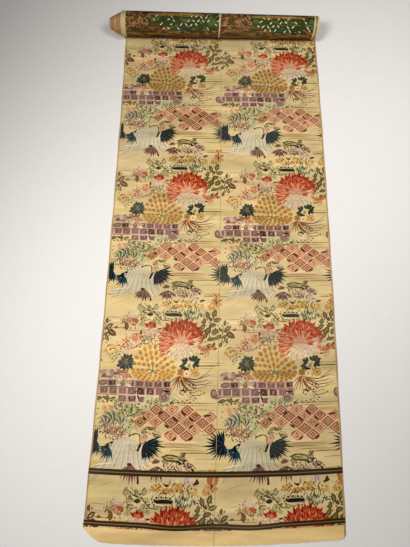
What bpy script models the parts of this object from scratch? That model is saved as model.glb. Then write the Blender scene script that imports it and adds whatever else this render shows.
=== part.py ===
# Obi sash: one double-width length of silk brocade, laid out flat with its face up.
# Its far end is rolled up on top of the cloth, so the roll shows the reverse side.
# Metres, +Z up. +X runs across the cloth and +Y along it, towards the roll.
# The origin is on the underside, at the middle of the stretch that lies flat.
import math

import bmesh
import bpy

# ---- driving dimensions, in metres ----
CLOTH_WIDTH = 0.680
CLOTH_THICKNESS = 0.0012
NEAR_END = -0.797           # where the loose end's straight line crosses the middle
ROLL_Y = 0.810              # the roll's axis, where the flat cloth starts to curl up
ROLL_RADIUS = 0.0390        # outside of the roll, halfway across
ROLL_TAPER = 0.0016         # how much looser the roll is wound at its left end
TURN_PITCH = 0.0018         # how far one turn lies inside the last
OUTER_TURN_DRIFT = 0.0090   # how far the outer turn creeps to the left on its way round
CONE_DEPTH = 0.0380         # how far the hidden turns have slid out to the left
CONE_DROP = 0.0175          # over how much of the roll's radius they have slid
SIDE_BOW = 0.0070           # how far the middle of the cloth bows to the right
SEAM_GAP = 0.0003           # between pieces that touch

# ---- the loose end ----
END_SKEW = 0.028            # its right side lies this much nearer the roll, per metre
END_SAG = 0.013             # its middle hangs this far out past its corners
WORN_CORNER = 0.034         # how far the left corner is worn back
WORN_REACH = 0.060          # and how far along the end the wear runs
SOFT_CORNER = 0.010         # the right corner is only softened
SOFT_REACH = 0.012

# ---- how finely the cloth is divided ----
EDGE_COLUMNS = (0.006, 0.020, 0.040)   # columns this far in from each side
MIDDLE_COLUMNS = 8
LENGTH_ROWS = 48
TURN_STEPS = 40             # segments round the outer turn
LAYER_STEPS = 32            # segments round the rolled layers
CONE_STEPS = 7              # steps modelled at the ends of the rolled layers

HALF_WIDTH = CLOTH_WIDTH / 2

# Soft folds that lift the cloth off the surface. Across and along are the fold's centre,
# and turn is its heading from +X, anticlockwise, in degrees.
FOLD_COLUMNS = ("across", "along", "turn", "length", "width", "height")
FOLDS = (
    (0.130, -0.668, 6.0, 0.420, 0.070, 0.0042),
    (0.085, -0.715, 10.0, 0.300, 0.050, 0.0026),
    (-0.150, -0.765, 9.0, 0.240, 0.050, 0.0022),
    (-0.230, -0.585, -4.0, 0.200, 0.060, 0.0018),
    (0.235, -0.330, 3.0, 0.180, 0.080, 0.0018),
    (-0.190, 0.330, -5.0, 0.240, 0.080, 0.0016),
)


def bump(distance, half_reach):
    # A smooth hump: 1 in the middle, level with nothing at its reach.
    if abs(distance) >= half_reach:
        return 0.0
    return 0.5 + 0.5 * math.cos(math.pi * distance / half_reach)


def fold_height(x, y):
    height = 0.0
    for row in FOLDS:
        fold = dict(zip(FOLD_COLUMNS, row))
        turn = math.radians(fold["turn"])
        dx = x - fold["across"]
        dy = y - fold["along"]
        along = dx * math.cos(turn) + dy * math.sin(turn)
        aside = dy * math.cos(turn) - dx * math.sin(turn)
        height += fold["height"] * bump(along, fold["length"] / 2) * bump(aside, fold["width"] / 2)
    return height


def middle_line(y):
    # The cloth's lengthwise centre line, a shallow bow in plan.
    return SIDE_BOW * (1.0 - (y / NEAR_END) ** 2) - SIDE_BOW * 2 / 3


def corner_wear(inset, wear, reach):
    if inset >= reach:
        return 0.0
    return wear * (1.0 - inset / reach) ** 2


def loose_end(u):
    # The end line at a distance u across the cloth from its centre line.
    sag = END_SAG * (1.0 - (u / HALF_WIDTH) ** 2)
    left = corner_wear(u + HALF_WIDTH, WORN_CORNER, WORN_REACH)
    right = corner_wear(HALF_WIDTH - u, SOFT_CORNER, SOFT_REACH)
    return NEAR_END + END_SAG / 2 + END_SKEW * u - sag + left + right


def roll_radius(x):
    return ROLL_RADIUS - ROLL_TAPER * x / HALF_WIDTH


def column_places():
    # Distances across the cloth, closer together at its sides.
    inner = HALF_WIDTH - EDGE_COLUMNS[-1]
    middle = [-inner + 2 * inner * i / MIDDLE_COLUMNS for i in range(1, MIDDLE_COLUMNS)]
    left = [-HALF_WIDTH] + [-HALF_WIDTH + inset for inset in EDGE_COLUMNS]
    return left + middle + [-place for place in reversed(left)]


def make_material(name, colour, roughness, metallic):
    material = bpy.data.materials.new(name)
    material.use_nodes = True
    shader = material.node_tree.nodes["Principled BSDF"]
    shader.inputs["Base Color"].default_value = (*colour, 1.0)
    shader.inputs["Roughness"].default_value = roughness
    shader.inputs["Metallic"].default_value = metallic
    return material


def add_object(name, mesh, material, collection):
    obj = bpy.data.objects.new(name, mesh)
    obj.data.materials.append(material)
    collection.objects.link(obj)
    return obj


def bend_grid(name, columns, rows, place):
    # A flat grid whose points are moved by place(column index, row index).
    bm = bmesh.new()
    bmesh.ops.create_grid(bm, x_segments=columns, y_segments=rows, size=1.0)
    for vert in bm.verts:
        column = round((vert.co.x + 1.0) / 2.0 * columns)
        row = round((vert.co.y + 1.0) / 2.0 * rows)
        vert.co = place(column, row)
    mesh = bpy.data.meshes.new(name)
    bm.to_mesh(mesh)
    bm.free()
    return mesh


def add_wall(obj):
    wall = obj.modifiers.new("cloth wall", 'SOLIDIFY')
    wall.thickness = CLOTH_THICKNESS
    wall.offset = 1.0


def make_laid_stretch(material, collection):
    # The stretch that lies flat, from the loose end to the line where the roll starts.
    across = column_places()
    far_end = ROLL_Y - SEAM_GAP

    def place(column, row):
        u = across[column]
        near = loose_end(u)
        y = near + (far_end - near) * row / LENGTH_ROWS
        x = u + middle_line(y)
        return (x, y, fold_height(x, y))

    mesh = bend_grid("laid_stretch", len(across) - 1, LENGTH_ROWS, place)
    obj = add_object("laid_stretch", mesh, material, collection)
    add_wall(obj)
    return obj


def make_outer_turn(material, collection):
    # The next stretch, which curls up round the far side of the roll, over it and down.
    start = middle_line(ROLL_Y)

    def place(column, row):
        turn = row / TURN_STEPS
        x = HALF_WIDTH * (2 * column - 1) + start - OUTER_TURN_DRIFT * turn
        angle = 2 * math.pi * turn
        radius = roll_radius(x) - TURN_PITCH * turn
        y = ROLL_Y + radius * math.sin(angle)
        z = roll_radius(x) - radius * math.cos(angle)
        return (x, y, z)

    mesh = bend_grid("outer_turn", 1, TURN_STEPS, place)
    obj = add_object("outer_turn", mesh, material, collection)
    add_wall(obj)
    mesh.shade_smooth()
    return obj


def layer_profile():
    # Half the outline of the rolled layers, from the axis at the right end, round, and
    # back to the axis at the left end. Each step inwards lies further to the left.
    outermost = ROLL_RADIUS - TURN_PITCH - CLOTH_THICKNESS - 2 * SEAM_GAP
    start = middle_line(ROLL_Y) - OUTER_TURN_DRIFT

    def end_at(step, side):
        return side * HALF_WIDTH + start - CONE_DEPTH * step / CONE_STEPS

    def radius_at(step, x):
        return outermost - CONE_DROP * step / CONE_STEPS + roll_radius(x) - ROLL_RADIUS

    points = [(0.0, end_at(CONE_STEPS, 1))]
    for step in range(CONE_STEPS, 0, -1):
        points.append((radius_at(step, end_at(step, 1)), end_at(step, 1)))
        points.append((radius_at(step, end_at(step - 1, 1)), end_at(step - 1, 1)))
    points.append((radius_at(0, end_at(0, 1)), end_at(0, 1)))
    points.append((radius_at(0, end_at(0, -1)), end_at(0, -1)))
    for step in range(1, CONE_STEPS + 1):
        points.append((radius_at(step, end_at(step - 1, -1)), end_at(step - 1, -1)))
        points.append((radius_at(step, end_at(step, -1)), end_at(step, -1)))
    points.append((0.0, end_at(CONE_STEPS, -1)))
    return points


def make_rolled_layers(material, collection):
    # All the turns inside the outer one, as one turned solid with stepped ends.
    points = layer_profile()
    mesh = bpy.data.meshes.new("rolled_layers")
    edges = [(i, i + 1) for i in range(len(points) - 1)]
    mesh.from_pydata([(radius, 0.0, along) for radius, along in points], edges, [])
    obj = add_object("rolled_layers", mesh, material, collection)
    screw = obj.modifiers.new("turned", 'SCREW')
    screw.axis = 'Z'
    screw.steps = LAYER_STEPS
    screw.render_steps = LAYER_STEPS
    screw.use_merge_vertices = True
    screw.merge_threshold = 0.00001
    # The turned axis is laid along X, and leans with the taper so that the roll lies flat.
    lean = math.atan(ROLL_TAPER / HALF_WIDTH)
    obj.rotation_euler = (0.0, math.pi / 2 + lean, 0.0)
    obj.location = (0.0, ROLL_Y, ROLL_RADIUS)
    return obj


def build():
    for old in list(bpy.data.objects):
        bpy.data.objects.remove(old, do_unlink=True)
    collection = bpy.data.collections.new("obi sash")
    bpy.context.scene.collection.children.link(collection)
    face = make_material("brocade face", (0.66, 0.49, 0.25), 0.45, 0.15)
    reverse = make_material("brocade reverse", (0.26, 0.15, 0.06), 0.55, 0.10)
    edges = make_material("rolled edges", (0.48, 0.30, 0.20), 0.70, 0.0)
    make_laid_stretch(face, collection)
    make_outer_turn(reverse, collection)
    make_rolled_layers(edges, collection)


build()
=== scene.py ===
import math
import random

import bpy
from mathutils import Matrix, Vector
from mathutils.bvhtree import BVHTree
from mathutils.geometry import delaunay_2d_cdt


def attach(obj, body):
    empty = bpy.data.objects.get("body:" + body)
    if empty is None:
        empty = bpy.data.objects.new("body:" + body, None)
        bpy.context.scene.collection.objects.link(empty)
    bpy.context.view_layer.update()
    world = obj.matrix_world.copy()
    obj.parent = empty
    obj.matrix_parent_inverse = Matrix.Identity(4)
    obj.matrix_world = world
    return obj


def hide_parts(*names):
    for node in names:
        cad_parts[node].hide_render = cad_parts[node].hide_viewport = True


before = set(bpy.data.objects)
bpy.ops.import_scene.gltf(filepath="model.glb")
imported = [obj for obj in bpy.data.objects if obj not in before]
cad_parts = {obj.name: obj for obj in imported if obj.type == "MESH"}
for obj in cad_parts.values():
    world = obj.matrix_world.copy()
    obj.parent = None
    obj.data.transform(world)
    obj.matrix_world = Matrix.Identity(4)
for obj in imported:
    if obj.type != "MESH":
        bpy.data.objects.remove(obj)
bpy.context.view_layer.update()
bpy.ops.object.select_all(action="DESELECT")
print("frame loaded:", ", ".join(sorted(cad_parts)))

# the cloth as it lies: metres, x across, y toward the roll, z up
cloth = {
    "halfWidth": 0.340,
    "thickness": 0.0012,
    "nearEnd": -0.797,
    "rollLine": 0.810,
    "sideBow": 0.0070,
    "endSkew": 0.028,
    "endSag": 0.013,
    "wornCorner": (0.034, 0.060),  # cut back, reach along the end
    "softCorner": (0.010, 0.012),
    "seamGap": 0.0003,
    "gridStep": 15.0,  # mm between free points on the flat cloth
    "foldStep": 6.0,
    "ripple": 0.00025,
    "underStep": 18.0,
    "turnStep": 5.0,
    "sameSpot": 0.001,  # mm: corners of a map that lie closer count as one
    "shortest": 0.01,  # mm: straightening leaves no edge shorter than this
    "nearby": 9,  # mm outside a piece where the edges of its maps still count
    "sharpFrom": 50,  # degrees
    "endSteps": 96,
    "endFray": (-0.5, 0.9),
    "selvages": ((1, 0.5, 31, 20), (-1, 0.6, 27, 44)),  # side, swing, wave, first point, in mm
    "selvageStep": 9,
    "farInset": 0.5,
    "foldSeen": 0.0002,  # metres: a fold lower than this gets no closer points
    "straighten": 0.76,  # mm a colour edge may stray when a corner is left out
}
folds = (  # across, along, turn in degrees, length, width, height
    (0.130, -0.668, 6.0, 0.420, 0.070, 0.0042),
    (0.085, -0.715, 10.0, 0.300, 0.050, 0.0026),
    (-0.150, -0.765, 9.0, 0.240, 0.050, 0.0022),
    (-0.230, -0.585, -4.0, 0.200, 0.060, 0.0018),
    (0.235, -0.330, 3.0, 0.180, 0.080, 0.0018),
    (-0.190, 0.330, -5.0, 0.240, 0.080, 0.0016),
)
roll = {
    "radius": 0.0390,
    "taper": 0.0016,
    "pitch": 0.0018,
    "drift": 0.0090,
    "coneDepth": 0.0380,
    "coneDrop": 0.0175,
    "innermost": 0.0042,
    "stepsRound": 40,
    "edgeWander": 0.0011,
}
# the woven repeat: mm right of the centre crease and mm down from the bar row
repeat = {
    "firstRow": 760.5,
    "rowPitch": 484.5,
    "columnPitch": 350.0,
    "rows": (-1, 0, 1, 2, 3),
    "columns": (-1, 0),
}
# how the woven repeat strays, all in mm: rises (middle, reach, height) later along the cloth and sideways
loom = {
    "later": ((125, 450, 11.2), (775, 480, 12.0)),
    "joinedAt": -640,  # under the upper band the repeat starts again
    "joinedLater": 10.3,
    "closer": 0.034,
    "aside": -1.3,
    "asideTurn": (-170, 130),
    "asideRise": (820, 330, -3.2),
    "wider": 8.0,
    "widerTurn": (310, 260),
    "narrower": 2.2,
    "widerRise": (-800, 450, 3.4),
}
# silk lots as they look in soft daylight: red, green, blue, share of gilt thread
yarns = {
    "ground": (215, 190, 136, 0.20),
    "plainEnd": (238, 203, 140, 0.25),
    "selvage": (178, 147, 99, 0.10),
    "crease": (166, 142, 94, 0.10),
    "tanShade": (196, 164, 110, 0.20),
    "peachShade": (220, 184, 134, 0.20),
    "yellowShade": (208, 184, 118, 0.25),
    "paleShade": (228, 206, 160, 0.25),
    "oliveStreak": (118, 100, 56, 0.10),
    "brownStreak": (140, 100, 58, 0.10),
    "rustStreak": (178, 116, 72, 0.10),
    "bandDark": (52, 36, 14, 0.05),
    "bandLight": (120, 98, 60, 0.20),
    "leafDark": (76, 56, 28, 0.05),
    "leafBrown": (110, 66, 36, 0.05),
    "leafOlive": (110, 96, 48, 0.10),
    "leafSage": (160, 148, 98, 0.10),
    "leafGrey": (104, 98, 72, 0.05),
    "leafIvory": (214, 200, 154, 0.15),
    "mint": (184, 178, 130, 0.10),
    "lilacGrey": (206, 192, 170, 0.15),
    "black": (30, 20, 14, 0.00),
    "pine": (46, 47, 33, 0.00),
    "navy": (8, 18, 22, 0.05),
    "teal": (26, 50, 56, 0.05),
    # painted sheen: the teal shimmer on the dark wings where the light catches the silk
    "paintedWingSheen": (20, 56, 70, 0.05),
    "slate": (108, 116, 108, 0.05),
    "deepRed": (120, 16, 0, 0.05),
    "red": (164, 44, 8, 0.05),
    "coral": (188, 88, 52, 0.10),
    "salmon": (214, 138, 96, 0.10),
    "blush": (212, 162, 130, 0.10),
    "peach": (220, 166, 114, 0.15),
    "plum": (123, 85, 73, 0.05),
    "plumDark": (68, 40, 30, 0.00),
    "mauve": (160, 122, 108, 0.10),
    "pinkWhite": (210, 180, 158, 0.15),
    "lavender": (204, 172, 160, 0.15),
    "brick": (152, 84, 47, 0.05),
    "brickDark": (84, 36, 14, 0.00),
    "apricot": (228, 184, 146, 0.20),
    "terracotta": (184, 126, 88, 0.10),
    "paleGold": (216, 184, 122, 0.45),
    "gold": (172, 124, 58, 0.50),
    "goldDeep": (150, 102, 44, 0.45),
    "amber": (164, 114, 52, 0.35),
    "yellow": (202, 162, 90, 0.35),
    "cream": (228, 210, 174, 0.15),
    "ecru": (220, 196, 158, 0.15),
    "fawn": (164, 130, 92, 0.10),
    "moss": (176, 164, 102, 0.15),
    "craneWhite": (194, 181, 150, 0.15),
    "craneLine": (160, 141, 106, 0.10),
    "pearl": (224, 214, 190, 0.15),
    "reverseBrown": (86, 59, 26, 0.10),
    "reverseGreen": (46, 58, 24, 0.10),
    "reverseLeaf": (74, 92, 46, 0.10),
    "reversePine": (30, 42, 26, 0.05),
    "reverseGold": (150, 108, 50, 0.25),
    "reverseSalmon": (178, 120, 86, 0.10),
    "reverseIvory": (214, 202, 162, 0.15),
    "reverseTeal": (40, 74, 66, 0.05),
    "reverseEdge": (202, 180, 134, 0.15),
}


def bump(distance, reach):
    return 0.5 + 0.5 * math.cos(math.pi * distance / reach) if abs(distance) < reach else 0.0


def foldHeight(x, y):
    height = 0.0
    for across, along, turn, length, width, rise in folds:
        cosTurn, sinTurn = math.cos(math.radians(turn)), math.sin(math.radians(turn))
        dx, dy = x - across, y - along
        ahead, aside = dx * cosTurn + dy * sinTurn, dy * cosTurn - dx * sinTurn
        height += rise * bump(ahead, length / 2) * bump(aside, width / 2)
    return height


def middleLine(y):
    return cloth["sideBow"] * (1 - (y / cloth["nearEnd"]) ** 2) - cloth["sideBow"] * 2 / 3


def laidPlace(across, along):
    # flat measure in mm to the place where that thread lies
    u, v = across / 1000, along / 1000
    share = ((cloth["rollLine"] - v) / (cloth["rollLine"] - cloth["nearEnd"])) ** 2
    middle = 1 - (u / cloth["halfWidth"]) ** 2
    y = v + share * (cloth["endSkew"] * u - cloth["endSag"] * middle + cloth["endSag"] / 2)
    return u + middleLine(y), y


def laidUnder(across, along):
    x, y = laidPlace(across, along)
    return x, y, foldHeight(x, y)


def laidTop(across, along):
    # slight waves run across the cloth and wander
    x, y = laidPlace(across, along)
    ripple = 0.5 + 0.5 * math.sin(along / 21 + 1.7 * math.sin(across / 90) + 0.9 * math.sin(along / 57))
    return x, y, foldHeight(x, y) + cloth["thickness"] + cloth["ripple"] * ripple


def rollRadius(x):
    return roll["radius"] - roll["taper"] * x / cloth["halfWidth"]


roundLength = 2 * math.pi * (roll["radius"] - roll["pitch"] / 2) * 1000  # mm of cloth in the outer turn


def turnPlace(across, along, inward):
    # along is mm of cloth past the line where the roll begins
    turn = along / roundLength
    x = across / 1000 + middleLine(cloth["rollLine"]) - roll["drift"] * turn
    angle = 2 * math.pi * turn
    distance = rollRadius(x) - roll["pitch"] * turn - inward
    y = cloth["rollLine"] + distance * math.sin(angle)
    return x, y, rollRadius(x) - distance * math.cos(angle)


def turnOuter(across, along):
    return turnPlace(across, along, 0.0)


def turnInner(across, along):
    return turnPlace(across, along, cloth["thickness"])


# shapes of the woven figures, all in mm with headings counter-clockwise from the right
def walk(start, heading, distance):
    turn = math.radians(heading)
    return start[0] + distance * math.cos(turn), start[1] - distance * math.sin(turn)


def oval(centre, wide, high, heading=0.0, sides=8):
    turn = math.radians(heading)
    points = []
    for i in range(sides):
        angle = 2 * math.pi * (i + 0.5) / sides
        a, b = wide / 2 * math.cos(angle), high / 2 * math.sin(angle)
        points.append((
            centre[0] + a * math.cos(turn) + b * math.sin(turn),
            centre[1] - a * math.sin(turn) + b * math.cos(turn),
        ))
    return points


def petal(root, heading, length, width, widest=1.0, blunt=0.65, sides=2, lean=0.0):
    # a lens from root to tip; widest over 1 moves the broad part outward, lean bows it sideways
    near, far = [], []
    for i in range(1, sides + 1):
        share = i / (sides + 1)
        middle = walk(root, heading, share * length)
        middle = walk(middle, heading + 90, lean * length * math.sin(math.pi * share))
        half = width / 2 * math.sin(math.pi * share ** widest) ** blunt
        near.append(walk(middle, heading - 90, half))
        far.append(walk(middle, heading + 90, half))
    return [root] + near + [walk(root, heading, length)] + far[::-1]


def smoothLine(points, steps=2):
    ends = [points[0], *points, points[-1]]
    line = []
    for knots in zip(ends, ends[1:], ends[2:], ends[3:]):
        for i in range(steps):
            k = i / steps
            line.append(tuple(
                0.5 * (
                    2 * b + (c - a) * k + (
                        2 * a - 5 * b + 4 * c - d
                    ) * k * k + (3 * b - a - 3 * c + d) * k ** 3
                )
                for a, b, c, d in zip(*knots)
            ))
    return line + [tuple(points[-1])]


def stroke(points, width, start=0.5, end=0.3, steps=2):
    # a tapering line, broadest a third of the way along, as a row of four-sided pieces
    line = smoothLine(points, steps) if len(points) > 2 and width > 1.9 else points
    sides = []
    for i, (a, b) in enumerate(line):
        before, after = line[max(i - 1, 0)], line[min(i + 1, len(line) - 1)]
        dx, dy = after[0] - before[0], after[1] - before[1]
        size = math.hypot(dx, dy) or 1.0
        share = i / (len(line) - 1)
        full = start + (1 - start) * share * 3 if share < 1 / 3 else 1 + (end - 1) * (share - 1 / 3) * 1.5
        half = width / 2 * full
        sides.append(
            ((a - dy / size * half, b + dx / size * half), (a + dy / size * half, b - dx / size * half))
        )
    return [[near[0], far[0], far[1], near[1]] for near, far in zip(sides, sides[1:])]


def lozenge(centre, wide, high):
    s, t = centre
    return [(s - wide / 2, t), (s, t + high / 2), (s + wide / 2, t), (s, t - high / 2)]


def box(left, top, right, bottom):
    return [(left, top), (left, bottom), (right, bottom), (right, top)]


def add(figures, yarn, shapes, shade=1.0):
    if isinstance(shapes[0][0], (int, float)):
        shapes = [shapes]
    figures.extend((yarn, shade, shape) for shape in shapes)


def ovals(figures, yarn, rows):
    # across, down, wide, high and, where it is turned, heading
    for across, down, wide, high, *turned in rows:
        heading = turned[0] if turned else 0
        add(figures, yarn, oval((across, down), wide, high, heading, 7 if wide < 12 else 9))


def lenses(figures, yarn, rows, widest=1.0, blunt=0.65):
    # across, down, heading, length, width
    for across, down, heading, length, width in rows:
        root = walk((across, down), heading, -length / 2)
        add(figures, yarn, petal(root, heading, length, width, widest, blunt, 2 if length < 22 else 3))


def lines(figures, yarn, width, rows, start=0.5, end=0.3):
    for points in rows:
        add(figures, yarn, stroke(points, width, start, end))


def leaves(figures, rim, inside, rows, rib=None):
    # dark edge, paler blade in two halves either side of a rib
    for across, down, heading, length, width in rows:
        lenses(figures, rim, [(across, down, heading, length, width)], 0.9, 0.6)
        blade = walk((across, down), heading, -0.38 * length)
        add(figures, inside, petal(blade, heading, 0.78 * length, 0.66 * width, 0.95, 0.6, 2))
        add(figures, rib or rim, petal(blade, heading, 0.6 * length, 0.16 * width, 1.0, 0.6, 1))


def sprig(figures, points, size, rim, inside, pairs=3, stem=2.2):
    # a stem with leaves down both sides and one at its tip
    line = smoothLine(points, 4)
    lines(figures, rim, stem, [points], 1.0, 0.7)
    rows = []
    for i in range(pairs + 1):
        at = min(len(line) - 2, round((i + 0.6) / (pairs + 0.6) * (len(line) - 1)))
        a, b = line[at], line[at + 1]
        along = math.degrees(math.atan2(a[1] - b[1], b[0] - a[0]))
        for turn in (-52, 52) if i < pairs else (0,):
            middle = walk(b if i == pairs else a, along + turn, size * 0.58)
            rows.append((*middle, along + turn, size, size * 0.52))
    leaves(figures, rim, inside, rows)


def fan(
    figures, root, first, last, count, start, reach, width, rim, inside, swell=1.2, blunt=0.55, lean=0.0,
    edge=1.5,
):
    # petals or feathers side by side round a root, each blade inside its rim
    for i in range(count):
        heading = first + (last - first) * i / max(count - 1, 1)
        near, length = walk(root, heading, start), reach[i % len(reach)] - start
        if rim:
            add(figures, rim, petal(near, heading, length, width, swell, blunt, 3 if width > 11 else 2, lean))
            near = walk(near, heading, edge * 0.6)
            blade = petal(near, heading, length - 1.6 * edge, width - 2 * edge, swell, blunt, 2, lean)
        else:
            blade = petal(near, heading, length, width, swell, blunt, 2, lean)
        add(figures, inside[i % len(inside)], blade)


def blossom(figures, centre, radius, rim, inside, heart, petals=5, turn=90):
    for yarn, size in ((rim, 1.0), (inside, 0.68)):
        for i in range(petals):
            heading = turn + 360 * i / petals
            add(
                figures, yarn,
                oval(walk(centre, heading, radius * 0.56), radius * size, radius * size * 0.95, heading, 6),
            )
    add(figures, rim, oval(centre, radius * 0.62, radius * 0.62, 0, 7))
    add(figures, heart, oval(centre, radius * 0.4, radius * 0.4, 0, 6))


def sprinkle(figures, lot, names, count, area, length, width, headings=(0, 180)):
    # small blades spread evenly over an oval patch: middle across and down, wide, high
    for i in range(count):
        spread, turn = 0.5 * math.sqrt((i + 0.5) / count), 2.39996 * i
        spot = (area[0] + area[2] * spread * math.cos(turn), area[1] + area[3] * spread * math.sin(turn))
        heading = lot.uniform(*headings)
        size = lot.uniform(0.75, 1.15)
        root = walk(spot, heading, -0.5 * length * size)
        add(
            figures, names[i % len(names)],
            petal(root, heading, length * size, 1.2 * width * size, 1.0, 0.6, 1),
        )


def shadesAndStreaks(figures):
    lines(figures, "peachShade", 15, [
        [(10, 28), (90, 26), (190, 29)], [(30, 62), (80, 60), (170, 63)], [(60, 110), (150, 108), (236, 112)],
    ], 0.3, 0.3)
    # painted satin highlights: pale soft strokes across the ground
    lines(figures, "paleShade", 8, [
        [(4, 16), (50, 17), (96, 15)], [(284, 176), (320, 175), (352, 177)],
        [(206, 342), (250, 341), (300, 343)],
    ], 0.2, 0.2)
    lines(figures, "yellowShade", 12, [
        [(-20, 146), (60, 144), (130, 148)], [(286, 216), (330, 215), (372, 217)],
        [(-10, 398), (30, 400), (64, 397)],
    ], 0.3, 0.3)
    lines(figures, "tanShade", 9, [
        [(190, 353), (250, 351), (318, 354)], [(270, 261), (310, 260), (352, 262)],
    ], 0.2, 0.2)
    lines(figures, "yellowShade", 9, [
        [(214, 368), (260, 367), (340, 369)], [(300, 154), (350, 153), (420, 154)],
    ], 0.2, 0.2)
    lines(figures, "rustStreak", 3.4, [[(30, 38), (60, 39), (92, 38)], [(82, 45), (100, 45.5), (122, 45)]])
    lines(figures, "oliveStreak", 4.2, [[(286, 142), (330, 141.5), (372, 141), (414, 140.5)]], 0.6, 0.8)
    lines(figures, "oliveStreak", 1.6, [
        [(200, 358), (250, 357), (310, 359)], [(296, 386), (330, 385), (380, 387)],
        [(20, 6), (50, 7), (84, 5)],
    ])
    lines(figures, "oliveStreak", 1.8, [
        [(296, 134), (330, 133), (380, 134)], [(300, 149), (350, 148), (396, 149.5)],
    ])
    lines(figures, "brownStreak", 3.6, [[(226, 242), (282, 243), (346, 242.5)]])
    lines(figures, "oliveStreak", 2.0, [
        [(240, 248), (290, 249.5), (330, 248)], [(300, 316), (330, 315), (352, 317)],
    ])
    lines(figures, "oliveStreak", 3.4, [[(296, 309.5), (346, 310), (386, 309)]])
    lines(figures, "oliveStreak", 3.0, [[(270, 370.5), (304, 370), (342, 371)]])
    lines(figures, "brownStreak", 4.6, [[(304, 420.5), (330, 420), (352, 421.5), (396, 421)]])
    lines(figures, "rustStreak", 3.0, [
        [(204, 349), (250, 348), (306, 350)], [(226, 364), (270, 363), (330, 365)],
    ], 0.3, 0.3)
    lines(figures, "oliveStreak", 1.7, [
        [(196, 356), (240, 355), (290, 356)], [(280, 196), (320, 195), (352, 196)],
    ])
    lines(figures, "brownStreak", 2.0, [
        [(312, 326), (326, 325), (346, 326.5)], [(300, 414), (330, 413), (360, 414)],
    ])
    lines(figures, "tanShade", 2.4, [[(80, 434), (58, 441), (38, 449), (16, 459)]])


def barAndBranch(figures, lot):
    # yellow flowers, the dark moored boat under them and the leafy branch at its left
    ovals(figures, "yellow", [(196, -34, 30, 15), (222, -36, 30, 12), (330, -29, 30, 18)])
    sprinkle(figures, lot, ("amber", "gold", "paleShade", "leafBrown"), 20, (208, -33, 62, 18), 9, 4)
    sprinkle(figures, lot, ("amber", "gold", "peach"), 9, (330, -30, 28, 16), 9, 4)
    lenses(figures, "leafDark", [(216, -6, 0, 58, 18)], 1.0, 0.35)
    lenses(figures, "leafSage", [(212, -11, 0, 50, 6)], 1.0, 0.35)
    lenses(figures, "black", [(217, -3.5, 0, 56, 13)], 1.0, 0.3)
    lenses(figures, "slate", [(216, 1, 0, 40, 2.2)], 1.0, 0.4)
    for across, down in ((197, -14), (209.5, -15), (222, -14.5), (234, -12)):
        ovals(figures, "leafIvory", [(across, down, 9.5, 8.5)])
        ovals(figures, "black", [(across, down, 6.5, 6)])
    lines(figures, "leafIvory", 1.5, [[(190, 0), (206, 2), (228, 1), (240, -2)]])
    lines(figures, "leafOlive", 2.0, [[(186, -2), (192, 5), (210, 8), (232, 6), (246, -4)]], 1.0, 0.6)
    lines(figures, "leafDark", 3.4, [[
        (120, -30), (134, -20), (143, -15), (160, -9), (170, 2), (181, 12), (198, 13),
    ]], 0.6, 0.8)
    leaves(figures, "leafOlive", "mint", [
        (113, -24, 30, 17, 13), (124, -6, -30, 21, 12), (163, -26, 80, 19, 12), (176, 22, -60, 15, 10),
        (160, 12, 70, 24, 10), (126, 8, 30, 18, 10), (119, 24, 80, 16, 8), (171, -8, 120, 16, 9),
        (205, 10, 0, 14, 7),
    ])
    leaves(figures, "leafDark", "pine", [(146, -4, 10, 22, 12)])
    lines(figures, "leafIvory", 1.8, [[(136, -2), (146, 3), (156, 1)], [(138, -11), (147, -13), (156, -9)]])
    lines(figures, "leafOlive", 2.4, [
        [(119, 14), (125, 6), (133, 4), (141, 15)], [(166, 1), (167, 8), (164, 18)],
    ])


def foliageRight(figures, lot):
    # pale reeds over the bloom's shoulder and the leaf sprays at the right
    ovals(figures, "mint", [(262, -7, 44, 30), (284, -6, 26, 26)])
    sprinkle(
        figures, lot, ("leafOlive", "leafIvory", "leafDark", "leafIvory", "leafGrey"), 44, (270, -8, 56, 36),
        14, 3.6, (60, 120),
    )
    lines(figures, "leafDark", 2.4, [
        [(266, -24), (267, -12), (264, 2)], [(281, -30), (284, -18), (279, -4)],
        [(244, -12), (252, -4), (262, 2)],
    ])
    ovals(figures, "black", [
        (300, -6, 7, 7, 20), (306, -2, 6, 6), (299, 1, 5, 5), (308, -9, 4, 4), (290, -7, 5, 4),
    ])
    sprinkle(figures, lot, ("cream", "leafIvory"), 7, (302, 0, 18, 16), 6, 2.4)
    leaves(figures, "leafDark", "leafOlive", [
        (318, -5, 108, 25, 14), (338, -11, 70, 27, 15), (308, 13, 84, 22, 12), (347, 9, 20, 26, 14),
        (304, 30, 60, 23, 13), (333, 25, 12, 25, 13), (320, 41, 50, 28, 16), (341, 44, 35, 25, 15),
        (313, 56, 80, 21, 12), (330, 66, 8, 25, 12), (347, 63, -10, 20, 11), (304, 68, 64, 17, 9),
        (322, 84, 30, 16, 8),
    ], "leafSage")
    leaves(
        figures, "leafDark", "leafBrown", [(327, 8, 140, 16, 9), (338, 82, 60, 17, 9), (303, 46, 110, 15, 8)],
    )
    lines(figures, "leafDark", 2.2, [
        [(324, 14), (328, 30), (324, 48), (326, 66)], [(322, 0), (330, 8), (346, 4)],
    ], 1.0, 0.7)
    fan(figures, (331, 98), 170, 20, 9, 2, (20, 18), 7, "brick", ("coral", "salmon", "leafBrown"), 1.4)
    fan(figures, (331, 98), 160, 30, 6, 0, (11,), 5, "leafBrown", ("peach",), 1.4)
    leaves(figures, "leafBrown", "salmon", [(309, 94, 80, 20, 11), (318, 104, 20, 16, 8)])
    lines(figures, "brick", 2.6, [[(298, 104), (306, 110), (318, 112)], [(300, 86), (302, 96), (300, 104)]])


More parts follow.
